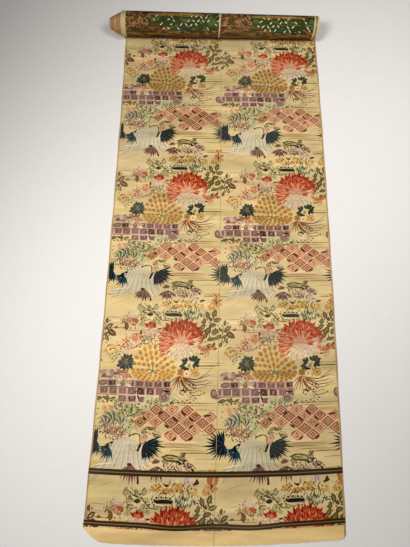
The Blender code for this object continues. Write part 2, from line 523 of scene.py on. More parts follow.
def creaseLeaves(figures):
    sprig(figures, [(13, 74), (12, 52), (17, 28)], 18, "leafDark", "leafOlive", 2)
    leaves(figures, "leafDark", "leafBrown", [(37, 54, -30, 32, 18), (8, 82, 70, 18, 10)], "leafSage")
    leaves(figures, "leafDark", "leafOlive", [
        (29, 34, 40, 23, 13), (24, 70, -60, 21, 11), (48, 38, 10, 14, 8),
    ], "leafIvory")
    blossom(figures, (37, 102), 15, "amber", "paleGold", "goldDeep", 6, 60)
    lines(figures, "brick", 2.8, [[(46, 92), (62, 90), (78, 96), (98, 97), (112, 92), (126, 80)]], 0.6, 0.9)
    leaves(figures, "gold", "yellow", [(24, 106, 160, 16, 9), (52, 108, 20, 16, 9), (37, 118, -80, 14, 8)])


def fanAndBud(figures):
    # a pale folded fan, a bud and its leaves
    fan(figures, (118, 4), 200, 156, 7, 4, (46, 40), 7, "mauve", ("ecru", "leafIvory"), 1.5, 0.5, 0.0, 1.2)
    lines(figures, "mauve", 1.8, [[(74, 2), (84, 10), (98, 10), (112, 4)]])
    fan(figures, (88, 22), 150, 20, 6, 0, (18, 16), 8, "leafBrown", ("salmon", "blush"), 1.2)
    leaves(figures, "brick", "coral", [(104, 16, -35, 22, 12)])
    lines(
        figures, "brick", 2.6, [[(84, 22), (94, 28), (104, 26), (113, 20)], [(96, 14), (106, 10), (113, 16)]],
    )
    leaves(figures, "leafOlive", "leafSage", [(68, 17, 75, 17, 9), (102, 30, 10, 14, 7)])
    leaves(figures, "leafBrown", "leafOlive", [(79, 34, 88, 26, 13), (74, 24, 120, 14, 7)])


def redDome(figures, lot):
    # a half-open bloom over pale petals, and the plum blossoms on their branch
    leaves(figures, "leafOlive", "mint", [
        (136, 66, 160, 24, 14), (152, 72, 40, 18, 11), (127, 24, 72, 20, 9), (166, 22, 60, 14, 7),
    ])
    fan(figures, (150, 36), 190, 350, 10, 2, (26, 31, 29), 9, "mauve", (
        "ecru", "pinkWhite", "blush",
    ), 1.4, 0.5)
    fan(figures, (150, 40), 138, 34, 6, 5, (26, 22), 9, "coral", ("deepRed", "red"), 1.2)
    fan(figures, (150, 40), 124, 50, 4, 2, (15, 13), 7, "salmon", ("red", "coral"), 1.2)
    lines(figures, "brick", 3.2, [
        [(126, 48), (123, 62), (127, 76), (138, 84), (150, 80)], [(170, 40), (180, 37), (187, 42), (192, 50)],
    ], 0.7, 0.8)
    lines(figures, "leafBrown", 2.4, [
        [(150, 62), (156, 72), (154, 84)], [(66, 70), (74, 74), (82, 80)], [(164, 54), (163, 66), (168, 82)],
    ])
    blossom(figures, (110, 65), 13, "brick", "salmon", "peach", 5, 60)
    blossom(figures, (87, 90), 13, "mauve", "pinkWhite", "brick", 5, 90)
    lines(figures, "coral", 2.4, [
        [(98, 62), (104, 55), (114, 53), (122, 58)], [(102, 78), (112, 82), (122, 76)],
    ])
    ovals(figures, "brickDark", [(122, 50, 7, 9), (177, 39, 10, 6)])
    sprinkle(figures, lot, ("salmon", "blush", "coral", "ecru", "leafBrown"), 44, (98, 76, 78, 46), 10, 4.2)
    sprinkle(figures, lot, ("salmon", "peach", "leafOlive"), 20, (60, 92, 60, 22), 10, 3.6, (-20, 40))


def redBloom(figures):
    # chrysanthemum: red petals above, coral at the left, pale ones below, all from one heart
    heart = (243, 77)
    rings = (  # headings, petals, start, reach, width, rim, blades, lean
        (156, 14, 23, 42, (77, 68, 74, 70), 11, "brick", ("deepRed", "red", "red"), 0.03),
        (216, 152, 14, 40, (74, 64, 69), 10, "blush", ("coral", "salmon", "red"), -0.08),
        (16, -14, 5, 38, (66, 58), 10, "blush", ("coral", "salmon"), 0.0),
        (214, 262, 9, 22, (60, 54, 61), 9.5, "fawn", ("ecru", "blush", "cream"), -0.04),
        (262, 376, 22, 20, (57, 50, 54), 9, "fawn", ("ecru", "cream", "ecru", "pinkWhite"), 0.06),
        (152, 22, 19, 30, (60, 53, 57), 10, "salmon", ("red", "deepRed", "red"), 0.0),
        (218, 146, 13, 25, (56, 50), 8.5, "blush", ("coral", "salmon"), -0.08),
        (212, 262, 7, 12, (46, 41), 8, "fawn", ("ecru",), -0.04),
        (264, 380, 17, 12, (42, 37), 7.5, "fawn", ("ecru", "cream", "pinkWhite"), 0.05),
        (196, -8, 20, 16, (45, 39), 8, "salmon", ("coral", "red", "salmon"), 0.0),
        (200, 350, 12, 5, (28, 25), 6.5, "fawn", ("ecru", "pinkWhite"), 0.05),
        (190, -10, 14, 3, (29, 25), 6, "coral", ("blush", "salmon", "pinkWhite"), 0.0),
    )
    for first, last, count, start, reach, width, rim, blades, lean in rings:
        fan(figures, heart, first, last, count, start, reach, width, rim, blades, 1.25, 0.6, lean, 1.0)
    lenses(figures, "peach", [
        (206, 20, 108, 16, 6), (229, 13, 92, 15, 5), (268, 34, 62, 20, 2.4), (190, 42, 132, 18, 2.4),
        (252, 26, 82, 20, 2.2), (216, 40, 112, 16, 2.2), (284, 48, 40, 16, 2.2),
    ])
    ovals(figures, "brick", [(243, 77, 5, 5.5)])


def goldBloom(figures, lot):
    centre = (163, 157)

    def place(share, heading):
        turn = math.radians(heading)
        tall = 72 if math.sin(turn) > 0 else 31
        wide = 66 if math.cos(turn) > 0 else 60
        return centre[0] + wide * share * math.cos(turn), centre[1] - tall * share * math.sin(turn)

    add(figures, "paleGold", [place(0.96, h) for h in range(0, 360, 12)], 0.92)
    for row, count in reversed(list(enumerate((8, 13, 18, 23)))):
        share = 0.14 + 0.215 * row
        for i in range(count):
            heading = 360 * (i + 0.5 * (row % 2)) / count
            spot, outer = place(share, heading), place(share + 0.235 + 0.03 * (row == 3), heading)
            length = math.dist(outer, spot)
            facing = math.degrees(math.atan2(spot[1] - outer[1], outer[0] - spot[0]))
            width = 2 * math.pi * (share + 0.12) * 50 / count
            shade = lot.uniform(0.88, 1.15)
            add(figures, "paleGold", petal(spot, facing, length + 1.0, width + 1.2, 1.4, 0.4, 2), 0.96)
            add(figures, "gold", petal(spot, facing, length * 1.04, width, 1.4, 0.4, 2), shade)
            add(
                figures, "goldDeep",
                petal(walk(spot, facing, length * 0.1), facing, length * 0.66, width * 0.3, 1.1, 0.6, 1),
                shade,
            )
    fan(figures, centre, 0, 320, 9, 2, (15,), 3.4, None, ("leafOlive", "leafIvory"), 1.0)
    ovals(figures, "leafOlive", [(163, 158, 8, 9)])


def darkClusters(figures):
    # dark three-fingered leaves either side of the gold bloom
    leaves(figures, "leafOlive", "leafIvory", [
        (60, 112, 50, 20, 10), (48, 126, 60, 16, 7), (72, 106, 20, 12, 6),
    ])
    lines(figures, "leafOlive", 2.2, [[(60, 122), (52, 134), (40, 138)], [(48, 118), (45, 128)]])
    ovals(figures, "leafGrey", [(85, 136, 34, 26, -20)])
    leaves(figures, "leafGrey", "leafSage", [
        (252, 126, 70, 16, 9), (292, 138, -20, 16, 8), (268, 142, 240, 16, 8), (286, 118, 60, 14, 7),
    ])
    for across, down, heading in (
        (84, 130, 105), (92, 130, 60), (80, 138, 165), (90, 136, 10), (92, 142, -40), (76, 142, 200),
        (86, 142, 250), (276, 130, 75), (283, 128, 15), (262, 134, 150), (256, 142, 235), (282, 133, -40),
    ):
        fan(
            figures, (across, down), heading - 46, heading + 46, 3, 0, (17, 20, 17), 10, "leafSage",
            ("pine", "teal", "pine"), 1.2, 0.5, 0.0, 0.7,
        )
    lenses(figures, "black", [(262, 151, 0, 17, 7), (80, 153, -10, 16, 6)])
    leaves(figures, "leafBrown", "amber", [(84, 162, 10, 24, 10), (66, 160, 150, 16, 7)])


def smallAmbers(figures):
    for across, down, size, rim, inside in (
        (262, 164, 11, "peach", "paleShade"), (288, 160, 12, "gold", "yellow"),
        (244, 160, 10, "goldDeep", "amber"),
    ):
        blossom(figures, (across, down), size, rim, inside, "leafBrown", 5, across % 60)
    lines(figures, "gold", 2.6, [[(274, 172), (279, 160), (286, 148)], [(254, 150), (250, 158), (252, 170)]])


def lotus(figures, lot):
    # the small cloud at the left and the pale bloom that covers its end
    ovals(figures, "mauve", [(32, 170, 50, 24, -4), (62, 166, 36, 18, 6)])
    for row, (first, last) in enumerate(((18, 66), (8, 74))):
        for i in range(round((last - first) / 11.5)):
            spot = (first + 11.5 * (i + 0.5), 162 + 10.5 * row + 1.5 * math.sin(i * 2 + row))
            add(figures, "pinkWhite", oval(spot, 13.5, 11.5, 20 * math.sin(i), 4))
            add(figures, (
                "mauve", "blush", "plum", "lavender",
            )[(i + row) % 4], oval(spot, 10, 8.2, 20 * math.sin(i), 4))
    lines(figures, "plum", 2.0, [[(10, 182), (30, 178), (52, 177), (76, 180)]])
    leaves(figures, "plumDark", "brick", [(25, 176, 30, 16, 9), (60, 168, 10, 20, 9)])
    fan(figures, (84, 194), 200, -20, 9, 2, (26, 24, 28), 11, "mauve", ("cream", "peach", "cream"), 1.3, 0.5)
    fan(figures, (90, 180), 150, 20, 5, 0, (17,), 7, "brick", ("salmon", "peach"), 1.3)
    leaves(figures, "pine", "leafSage", [(80, 193, 80, 19, 12)])
    sprinkle(figures, lot, ("leafSage", "brick", "cream"), 10, (96, 186, 22, 20), 8, 2.6, (30, 150))


def checkCloud(figures, lot):
    # a cloud band of squares, each inside a pale line and offset row by row, its left end rounded off
    ovals(
        figures, "pinkWhite", [(-8, 218, 24, 32), (2, 226, 36, 20), (28, 194, 40, 22, 8), (140, 236, 34, 20)],
    )
    ovals(figures, "plum", [(-9, 217, 19, 26), (1, 225, 24, 15), (26, 194, 32, 16, 8), (140, 236, 28, 16)])
    ovals(figures, "mauve", [(-8, 216, 12, 16), (24, 194, 20, 8, 8)])
    rows = ((184, 204, 36, 218, 26.5, 0), (204, 225, 2, 222, 26.5, 13), (225, 245, 70, 128, 26.5, 0))
    for top, bottom, left, right, pitch, shift in rows:
        start = left - shift
        while start < right - 4:
            a, b = max(left, start), min(right, start + pitch)
            add(figures, "pinkWhite", box(a, top, b, bottom))
            if b - a > 7:
                shade = lot.uniform(0.85, 1.3)
                add(figures, "mauve", box(a + 1.2, top + 1.2, b - 1.2, bottom - 1.2), shade)
                core = ("plum", "plumDark", "plum", "plum")[lot.randrange(4)]
                lean = lot.uniform(-2.4, 2.4)
                add(figures, core, [
                    (a + 3.0, top + 3.0 + lean), (a + 4.2 + lean, bottom - 3.0),
                    (b - 3.2, bottom - 3.0 - lean), (b - 4.0 + lean, top + 3.2),
                ], shade)
                middle, level = (a + b) / 2, (top + bottom) / 2
                if b - a > 20:
                    for turn in range(lot.randrange(5)):
                        lenses(figures, "mauve", [(*walk((
                            middle, level,
                        ), 45 + 90 * turn, 3.8), 45 + 90 * turn, 7, 2.8)], 1.0, 0.6)
                    lenses(figures, "mauve", [(middle + lean * 2, level + 1, 70 + 12 * lean, 13, 2.6)])
            start += pitch
    lines(figures, "plumDark", 1.8, [
        [(8, 205), (60, 204), (110, 205), (160, 204.5), (222, 205)], [(12, 226), (40, 226), (70, 225.5)],
    ], 1.0, 0.9)
    leaves(figures, "leafDark", "leafOlive", [
        (16, 237, 10, 26, 10), (38, 236, -14, 24, 9), (58, 235, 20, 18, 8),
    ])
    lenses(figures, "black", [
        (208, 213, 0, 16, 7), (200, 211, 0, 10, 5), (120, 216, 60, 10, 5), (128, 230, -70, 14, 6),
    ])


def grassTuft(figures):
    # bent grass blades spring from one root, dark ones beside pale ones
    root = (241, 172)
    tips = (  # across, down, rise of the arc
        (334, 150, 26), (330, 166, 22), (326, 180, 20), (336, 186, 26), (322, 196, 22), (318, 214, 26),
        (300, 208, 16), (286, 206, 8),
        (216, 190, -8), (219, 203, -10), (222, 214, -8), (236, 210, -3), (246, 212, 2), (258, 210, 6),
    )
    for i, (across, down, rise) in enumerate(tips):
        bend = ((root[0] + across) / 2 + rise * 0.1, max(root[1], down) + rise * 0.35)
        if across < 262:
            bend = ((root[0] + across) / 2 - rise * 0.3, (root[1] + down) / 2 - 4)
        yarn = ("brownStreak", "leafBrown", "brick", "leafBrown")[i % 4]
        if i % 2:
            lines(figures, "cream", 2.2, [[
                (root[0] + 1.4, root[1] + 1.6), (bend[0] + 1.4, bend[1] + 2.2), (across - 4, down + 2),
            ]], 0.8, 0.3)
        lines(figures, yarn, 3.8, [[root, bend, (across, down)]], 1.0, 0.3)
    lenses(figures, "salmon", [(244, 180, 80, 18, 5), (251, 178, 120, 18, 5)])
    ovals(figures, "black", [
        (254, 209, 11, 6, -10), (260, 212, 6, 6), (273, 194, 5, 6), (282, 194.5, 6, 7), (290, 199, 5, 4),
    ])
    lines(figures, "leafSage", 1.8, [
        [(222, 218), (234, 222), (244, 232), (262, 232), (300, 231)], [(268, 216), (267, 226), (269, 236)],
        [(280, 222), (281, 234)],
    ], 0.8, 0.5)
    lines(figures, "leafIvory", 1.6, [
        [(250, 214), (258, 222), (252, 228)], [(262, 218), (272, 224), (282, 216)],
        [(292, 214), (290, 224), (298, 228)],
    ], 0.8, 0.5)


def wheelAndLeaves(figures, lot):
    ovals(figures, "mint", [(160, 238, 34, 32), (184, 242, 30, 26), (153, 256, 32, 20), (222, 234, 28, 20)])
    for yarn, size in (
        ("leafGrey", 30), ("pinkWhite", 25), ("plum", 22), ("mauve", 15), ("plumDark", 10), ("cream", 5),
    ):
        add(figures, yarn, oval((201, 230), size, size * 0.84, 0, 11))
    for across, down, heading in (
        (150, 244, 60), (164, 240, 100), (176, 238, 75), (184, 250, 40), (166, 256, 150), (222, 240, 50),
    ):
        for yarn, width, spot, reach in (
            ("leafIvory", 3.6, (across, down), 11), ("leafDark", 2.2, (across + 3, down + 1), 10),
        ):
            bowed = [
                walk(spot, heading + 180, reach), walk(spot, heading + 60, 3), walk(spot, heading, reach),
            ]
            lines(figures, yarn, width, [bowed], 0.6, 0.6)
    sprinkle(figures, lot, ("leafOlive", "leafIvory", "pine", "leafGrey"), 26, (176, 248, 62, 22), 8, 3)
    leaves(figures, "leafDark", "leafSage", [
        (180, 246, 40, 16, 9), (196, 252, 10, 20, 8), (212, 250, -20, 16, 8),
    ])
    leaves(figures, "pine", "leafOlive", [(224, 245, -30, 16, 11), (237, 254, -30, 16, 7)])


def undergrowth(figures, lot):
    # grey-green leafage: pale curls and dark curls thick on a sage patch
    ovals(figures, "leafSage", [(92, 260, 58, 34), (122, 268, 48, 30), (74, 246, 26, 24), (86, 282, 42, 28)])
    ovals(figures, "mint", [(104, 304, 42, 44), (90, 292, 36, 20)])
    for across, down, wide, high, count in ((96, 258, 84, 44, 62), (96, 292, 56, 44, 30)):
        sprinkle(figures, lot, ("pine", "cream", "leafDark", "mint", "black", "leafIvory"), count, (
            across, down, wide, high,
        ), 9.5, 3.5)
    for i in range(12):
        spot = (72 + 6.4 * i, 256 + 11 * math.sin(i * 2.1))
        heading = 40 * i
        lines(figures, ("pine", "leafIvory")[i % 2], 2.2, [[
            walk(spot, heading, 6), walk(spot, heading + 90, 3.6), walk(spot, heading + 180, 6),
        ]], 0.6, 0.6)


def fanPine(figures, lot):
    # pine needles in bent sheaves beside peach flowers
    ovals(figures, "peachShade", [(44, 264, 28, 14), (30, 274, 12, 12), (66, 308, 50, 28)])
    ovals(figures, "leafSage", [(58, 284, 56, 26)])
    ovals(figures, "fawn", [(58, 320, 40, 22), (84, 320, 26, 28)])
    for across, down, first, last, count, reach in (
        (66, 302, 200, 104, 18, 44), (40, 308, 130, 40, 11, 28), (84, 306, 140, 60, 11, 28),
    ):
        for i in range(count):
            heading = first + (last - first) * i / (count - 1)
            middle, tip = walk(
                (across, down), heading - 14, reach * 0.55,
            ), walk((across, down), heading, reach)
            yarn = ("pine", "leafGrey", "leafIvory", "slate")[i % 4]
            lines(figures, yarn, 2.8, [[(across, down), middle, tip]], 0.5, 0.3)
    for across, down, size, rim, inside in (
        (48, 312, 9, "mauve", "blush"), (84, 322, 10, "plum", "blush"), (72, 336, 8, "brick", "pinkWhite"),
        (94, 334, 8, "mauve", "pinkWhite"), (36, 262, 8, "salmon", "peach"),
        (56, 260, 7, "terracotta", "blush"),
    ):
        blossom(figures, (across, down), size, rim, inside, "leafBrown", 5, down % 70)
    sprinkle(figures, lot, ("leafDark", "mauve", "cream", "black", "leafGrey", "pine"), 60, (
        66, 322, 80, 44,
    ), 7.5, 3.4)


def lozengeCloud(figures):
    # a cloud band of lozenges, each with a pale line round it, four small ones in it, some with a flower
    across, down, stepAcross, stepDown = 203.5, 278, 21.8, 16.6
    lobes = (  # left, right, top, bottom
        (176, 276, 255, 282), (136, 292, 268, 312), (272, 352, 262, 314), (112, 160, 282, 306),
        (204, 304, 308, 345),
    )
    flowers = ((-3, 1), (0, 0), (2, 2), (5, 1), (3, 1))
    for j in range(-1, 5):
        for i in range(-5, 8):
            centre = (across + stepAcross * i, down + stepDown * j)
            inside = any(a + 4 < centre[0] < b - 4 and c + 1 < centre[1] < d - 2 for a, b, c, d in lobes)
            if (i + j) % 2 or not inside:
                continue
            dark = (i * 3 + j) % 4 == 0
            level = 1.08 if centre[1] > 305 else 1.0
            add(figures, "apricot", lozenge(centre, 43.5, 33))
            add(figures, "brick" if dark else "terracotta", lozenge(
                centre, 38.5, 29.2,
            ), (0.84, 1.1, 1.0)[(i * 2 + j) % 3] * level)
            add(figures, "apricot", lozenge(centre, 26, 19.6), (1.0, 0.9, 1.06)[(i + j * 2) % 3] * level)
            if (i, j) in flowers:
                add(figures, "leafBrown", lozenge(centre, 22, 16.6))
                for heading in (0, 90, 180, 270):
                    add(figures, "apricot", oval(walk(centre, heading, 3.9), 4.6, 4.0, heading, 6))
                continue
            for side, lower in ((-5.4, 0), (5.4, 0), (0, -4.1), (0, 4.1)):
                spot = (centre[0] + side, centre[1] + lower)
                add(figures, "brick" if dark or lower else "terracotta", lozenge(spot, 9.4, 7.2), level)
    lenses(figures, "brickDark", [
        (194, 270, 38, 19, 6.5), (258, 270, -42, 22, 7), (236, 285, -36, 25, 6.5), (150, 285, -38, 19, 7),
        (213, 304, -34, 20, 6.5), (236, 336, 38, 18, 6.5), (280, 285, -40, 21, 6.5), (281, 304, 38, 19, 6),
        (281, 335, 36, 20, 6.5), (324, 275, 4, 26, 6),
    ], 1.0, 0.45)
    lenses(figures, "brick", [
        (146, 271, 30, 17, 6), (294, 273, 0, 22, 6), (116, 292, -60, 15, 7), (338, 302, 80, 16, 6),
        (214, 321, 36, 18, 5),
    ], 1.0, 0.5)
    leaves(figures, "leafDark", "leafSage", [
        (138, 294, 60, 17, 10), (172, 311, 0, 26, 9), (150, 318, 40, 20, 10), (186, 328, -10, 22, 10),
    ])
    blossom(figures, (152, 334), 10, "mauve", "blush", "leafBrown", 5, 20)
    lines(figures, "leafBrown", 2.2, [
        [(148, 314), (158, 307), (168, 312), (182, 314)], [(156, 324), (160, 332), (166, 338)],
    ])


def crane(figures):
    # the flying crane: pale body and plumes, dark flight feathers spread at both sides with painted sheen and
    # highlights, thin bent neck
    outline = [
        (78, 342), (104, 336), (144, 350), (162, 380), (168, 408), (130, 422), (84, 420), (40, 416),
        (58, 388), (60, 362), (78, 342),
    ]
    add(figures, "craneWhite", smoothLine(outline, 2)[:-1])
    fan(figures, (92, 398), 208, 188, 6, 4, (86, 74, 80), 8, "craneLine", (
        "craneWhite", "cream",
    ), 1.2, 0.6, -0.02, 1.0)
    fan(figures, (132, 396), -14, -56, 6, 4, (42, 46), 8, "craneLine", (
        "craneWhite", "cream",
    ), 1.2, 0.6, 0.02, 1.0)
    for i in range(24):  # fine plumes down the body
        share = i / 23
        root = (72 + 76 * share, 348 + 5 * math.sin(share * 9))
        tip = (34 + 140 * share, 420 + 9 * math.sin(share * 17) - 10 * share)
        middle = ((root[0] + tip[0]) / 2 + 8 * (0.5 - share), (root[1] + tip[1]) / 2)
        lines(figures, ("pearl", "craneLine", "pearl")[i % 3], (1.8, 1.0, 1.5)[i % 3], [[
            root, middle, tip,
        ]], 0.5, 0.6)
    fan(figures, (126, 352), 200, 340, 7, 3, (20, 22), 6, "craneLine", ("mint", "leafIvory"), 1.2)
    lines(figures, "leafDark", 3.0, [[
        (109, 334), (117, 328), (127, 325), (136, 326), (141, 333), (142, 348),
    ]], 0.8, 0.9)
    lines(figures, "plum", 3.4, [[(142, 349), (150, 348), (159, 343)]], 0.9, 0.6)
    lines(figures, "craneWhite", 1.6, [[(112, 336), (120, 331), (128, 328), (134, 330)]])
    wings = (  # root, first and last heading, feathers, longest, its heading, width, yarns
        ((150, 353), -88, 24, 17, 66, -2, 7.2, ("navy", "black", "navy", "teal")),
        ((24, 348), 94, 286, 18, 65, 186, 6.8, ("navy", "paintedWingSheen", "black", "navy")),
        ((58, 360), 184, 290, 9, 45, 248, 6.6, ("paintedWingSheen", "navy", "paintedWingSheen", "teal")),
    )
    ovals(figures, "navy", [(170, 355, 38, 22, -12), (9, 350, 34, 30)])
    # painted sheen on the wing's root
    ovals(figures, "paintedWingSheen", [(51, 371, 17, 17)])
    for root, first, last, count, longest, level, width, names in wings:
        for i in range(count):
            heading = first + (last - first) * i / (count - 1)
            reach = longest * (1 - 0.0045 * abs(heading - level)) * (1.0, 0.88, 0.96, 0.84)[i % 4]
            add(figures, names[i % 4], petal(root, heading, reach, width, 0.7, 0.8, 2, 0.03))
            # painted highlights: a pale slate rib in every third feather
            if i % 3 == 1:
                add(
                    figures, "slate",
                    petal(walk(root, heading, reach * 0.4), heading, reach * 0.3, 1.1, 1.0, 0.6, 1),
                )
    lenses(figures, "navy", [(52, 360, 60, 22, 12), (63, 351, 30, 16, 8)])
    ovals(figures, "slate", [(61, 356, 10, 9), (48, 368, 8, 4, 20)])
    ovals(figures, "cream", [(61.5, 355, 5, 5)])
    lines(figures, "black", 7.0, [[(144, 350), (141, 359), (137, 369)]], 0.9, 0.8)
    lines(figures, "cream", 2.0, [[(149, 354), (146, 362), (143, 372)]], 0.9, 0.8)


def tuftsAndBird(figures, lot):
    # tufts, a small bird and flowers between the crane and the next boat
    for across, down, first, last, count, reach, rim, inside in (
        (124, 402, 212, 304, 8, (36, 42, 40), "mauve", ("plum", "leafBrown", "plumDark")),
        (194, 404, 214, 322, 9, (34, 29), "mauve", ("plumDark", "plum", "plumDark")),
        (190, 398, 40, 160, 5, (14, 12), "mauve", ("plum", "plumDark")),
        (244, 412, 190, 350, 8, (16, 20), "pinkWhite", ("plumDark", "mauve")),
        (276, 408, 160, 20, 7, (16, 18), "pinkWhite", ("plumDark", "plum", "mauve")),
        (276, 424, 200, 340, 7, (18, 16), "lilacGrey", ("mauve", "pinkWhite")),
    ):
        fan(figures, (across, down), first, last, count, 0, reach, 8, rim, inside, 1.3, 0.55, 0.0, 1.1)
    ovals(figures, "plumDark", [(144, 435, 7, 10), (118, 402, 14, 8)])
    sprinkle(figures, lot, ("plum", "pinkWhite", "plumDark", "mauve", "plumDark"), 66, (
        240, 412, 92, 34,
    ), 8.5, 3.8)
    leaves(figures, "leafDark", "moss", [(232, 384, -5, 60, 19)], "black")
    leaves(figures, "leafOlive", "leafSage", [(262, 376, 50, 22, 10), (214, 394, -20, 24, 9)], "leafDark")
    lenses(figures, "leafDark", [(234, 391, -6, 46, 6), (256, 386.5, -38, 18, 6)])
    fan(figures, (250, 386), -30, 60, 5, 0, (22, 28), 7, "leafDark", ("leafSage", "leafOlive"), 1.2)
    ovals(figures, "cream", [(248, 390, 6, 4), (258, 392, 5, 4)])
    lenses(figures, "black", [(252, 394, -30, 22, 6), (240, 379, 8, 18, 3), (266, 392, 60, 14, 5)])
    lines(figures, "leafOlive", 3.4, [
        [(281, 396), (288, 399), (294, 404), (299, 411)], [(204, 380), (212, 388), (222, 392)],
    ], 0.6, 0.6)
    lenses(figures, "plumDark", [(300, 435, 8, 20, 7), (290, 412, -40, 14, 7)])
    ovals(figures, "yellow", [
        (196, 446, 30, 20), (222, 452, 32, 20), (250, 446, 32, 26), (270, 458, 28, 13), (296, 454, 22, 22),
    ])
    sprinkle(figures, lot, ("amber", "leafDark", "paleShade", "goldDeep", "leafBrown"), 62, (
        242, 448, 124, 32,
    ), 8.5, 3.6)
    ovals(figures, "black", [(222, 441, 12, 7.5, -10)])
    lines(figures, "leafDark", 2.8, [
        [(275, 446), (281, 454), (286, 461)], [(258, 450), (266, 453), (268, 464)],
    ], 0.7, 0.6)


def orangeSprig(figures):
    fan(figures, (343, 440), 30, 330, 9, 2, (20, 17), 8, "brick", ("amber", "peach", "salmon"), 1.2)
    fan(figures, (343, 424), 20, 160, 5, 1, (15, 18), 7, "gold", ("peach", "amber"), 1.2)
    ovals(figures, "brickDark", [(343, 440, 8, 8)])
    lines(figures, "leafBrown", 2.6, [[(343, 418), (341, 436), (346, 456)]], 0.7, 0.7)


def gardenTop(figures):
    # what grows over the next boat: leaf sprays and pale flowers
    sprig(figures, [(116, 478), (132, 468), (156, 460)], 16, "leafOlive", "mint", 2)
    leaves(figures, "leafOlive", "leafSage", [
        (114, 454, 70, 18, 10), (140, 456, -12, 20, 8), (163, 456, 84, 22, 12),
    ])
    lines(figures, "leafDark", 2.4, [
        [(126, 446), (133, 453), (144, 459), (156, 468)], [(150, 462), (158, 472), (170, 474)],
    ])


def filling(figures, lot):
    # the small leaves, buds and gleams that crowd the spaces between the large figures
    greens = ("leafOlive", "cream", "leafDark", "mint", "pine")
    flowers = ("leafBrown", "cream", "blush", "leafDark", "brick")
    mixed = ("peachShade", "leafOlive", "blush", "leafGrey")
    for names, count, area, length, width, *headings in (
        (greens, 50, (206, -6, 96, 44), 9, 3.4), (greens, 38, (146, -8, 80, 56), 9, 3.4),
        (("leafDark", "leafOlive", "leafSage"), 44, (322, 30, 58, 120), 10, 4, (20, 140)),
        (flowers, 40, (92, 18, 66, 60), 8, 3.2), (flowers, 40, (146, 62, 64, 60), 8, 3.4),
        (mixed, 40, (44, 290, 74, 90), 9, 3.4, (60, 200)), (greens, 30, (124, 310, 70, 44), 9, 3, (40, 160)),
        (("leafOlive", "mauve", "leafIvory", "blush"), 32, (172, 322, 60, 34), 8, 3.2),
        (("mauve", "leafBrown", "peachShade", "ecru"), 36, (66, 178, 92, 40), 9, 3.2, (-20, 40)),
        (("peachShade", "gold", "leafBrown", "yellow"), 34, (268, 162, 66, 34), 8, 3),
        (("leafOlive", "leafSage", "leafDark"), 24, (34, 240, 66, 20), 11, 3.6, (-30, 30)),
        (("leafBrown", "leafSage"), 16, (60, 116, 60, 30), 9, 2.6, (20, 80)),
        (("amber", "peachShade", "leafBrown", "ecru"), 34, (310, 100, 56, 34), 8, 3.4),
        (("leafDark", "lilacGrey", "cream", "leafOlive"), 50, (268, 222, 100, 46), 9, 3.2),
        (("leafDark", "mint", "leafOlive"), 30, (150, 258, 70, 26), 9, 3.4),
        (("leafBrown", "leafSage", "leafDark"), 24, (24, 52, 40, 70), 9, 3.4, (30, 130)),
    ):
        sprinkle(figures, lot, names, count, area, length, width, *headings)


def wovenRepeat():
    lot = random.Random(11)
    figures = []
    shadesAndStreaks(figures)
    filling(figures, lot)
    undergrowth(figures, lot)
    fanPine(figures, lot)
    checkCloud(figures, lot)
    lotus(figures, lot)
    wheelAndLeaves(figures, lot)
    lozengeCloud(figures)
    crane(figures)
    tuftsAndBird(figures, lot)
    orangeSprig(figures)
    gardenTop(figures)
    barAndBranch(figures, lot)
    foliageRight(figures, lot)
    fanAndBud(figures)
    creaseLeaves(figures)
    redDome(figures, lot)
    goldBloom(figures, lot)
    redBloom(figures)
    darkClusters(figures)
    smallAmbers(figures)
    grassTuft(figures)
    return figures


# near-end bands, selvages and the crease down the middle, straight across the cloth, in mm
bands = {
    "upper": {"at": -631.0, "dark": 6.3, "light": 2.5, "lastDark": 6.3, "sag": 0.0},
    "lower": {"at": -753.0, "dark": 5.5, "light": 2.4, "lastDark": 5.0, "sag": 4.5},
    "sagEnds": 200,  # the lower lines hang lowest halfway from the crease to here
    "steps": 56,
    "selvageWidth": 5.0,
    "creaseWidth": 1.6,
    "plainFrom": -763.0,
    "plainDeep": 60,
    "pastEdge": 5,  # how far the bands run past the cloth's sides before they are cut
    "pastEnds": 830,
    "mapPastEdge": 15,
    "mapPastEnds": 10,
}


def extent(points):
    return [[pick(p[i] for p in points) for i in (0, 1)] for pick in (min, max)]


def crossBand(band, top, bottom, half):
    upper, lower = [], []
    for i in range(bands["steps"] + 1):
        across = -half + 2 * half * i / bands["steps"]
        swing = math.sin(math.pi * min(abs(across), bands["sagEnds"]) / bands["sagEnds"])
        line = band["at"] - band["sag"] * swing ** 2
        upper.append((across, line + top))
        lower.append((across, line + bottom))
    return upper + lower[::-1]


def woundEdge(points):
    area = sum(a[0] * b[1] - b[0] * a[1] for a, b in zip(points, points[1:] + points[:1]))
    return points if area > 0 else points[::-1]


def shortSides(points, longest):
    made = []
    for a, b in zip(points, points[1:] + points[:1]):
        pieces = max(1, math.ceil(math.dist(a, b) / longest))
        made += [
            (a[0] + (b[0] - a[0]) * i / pieces, a[1] + (b[1] - a[1]) * i / pieces) for i in range(pieces)
        ]
    return made


def colourMap(outline, figures, longest):
    # a flat map of what is seen: every figure's edge cuts it and the figure drawn last lies on top
    low, high = extent(outline)
    corners, loops, kept = [], [], ["ground"]

    def loop(points):
        start = len(corners)
        points = shortSides(woundEdge(points), longest)
        corners.extend(Vector(p) for p in points)
        loops.append(list(range(start, len(corners))))

    loop(outline)
    for yarn, shade, points in figures:
        least, most = extent(points)
        if all(least[i] < high[i] and most[i] > low[i] for i in (0, 1)):
            loop(points)
            kept.append((yarn, shade))
    flat, _, faces, _, _, owners = delaunay_2d_cdt(corners, [], loops, 0, cloth["sameSpot"], True)
    coloured = [(face, kept[max(owner)]) for face, owner in zip(faces, owners) if 0 in owner]
    return flat, [one for one in coloured if one[1] != "ground"], seenEdges(flat, coloured)


def movedMap(flatMap, move):
    flat, coloured, edges = flatMap
    return [Vector(move(*p)) for p in flat], coloured, edges


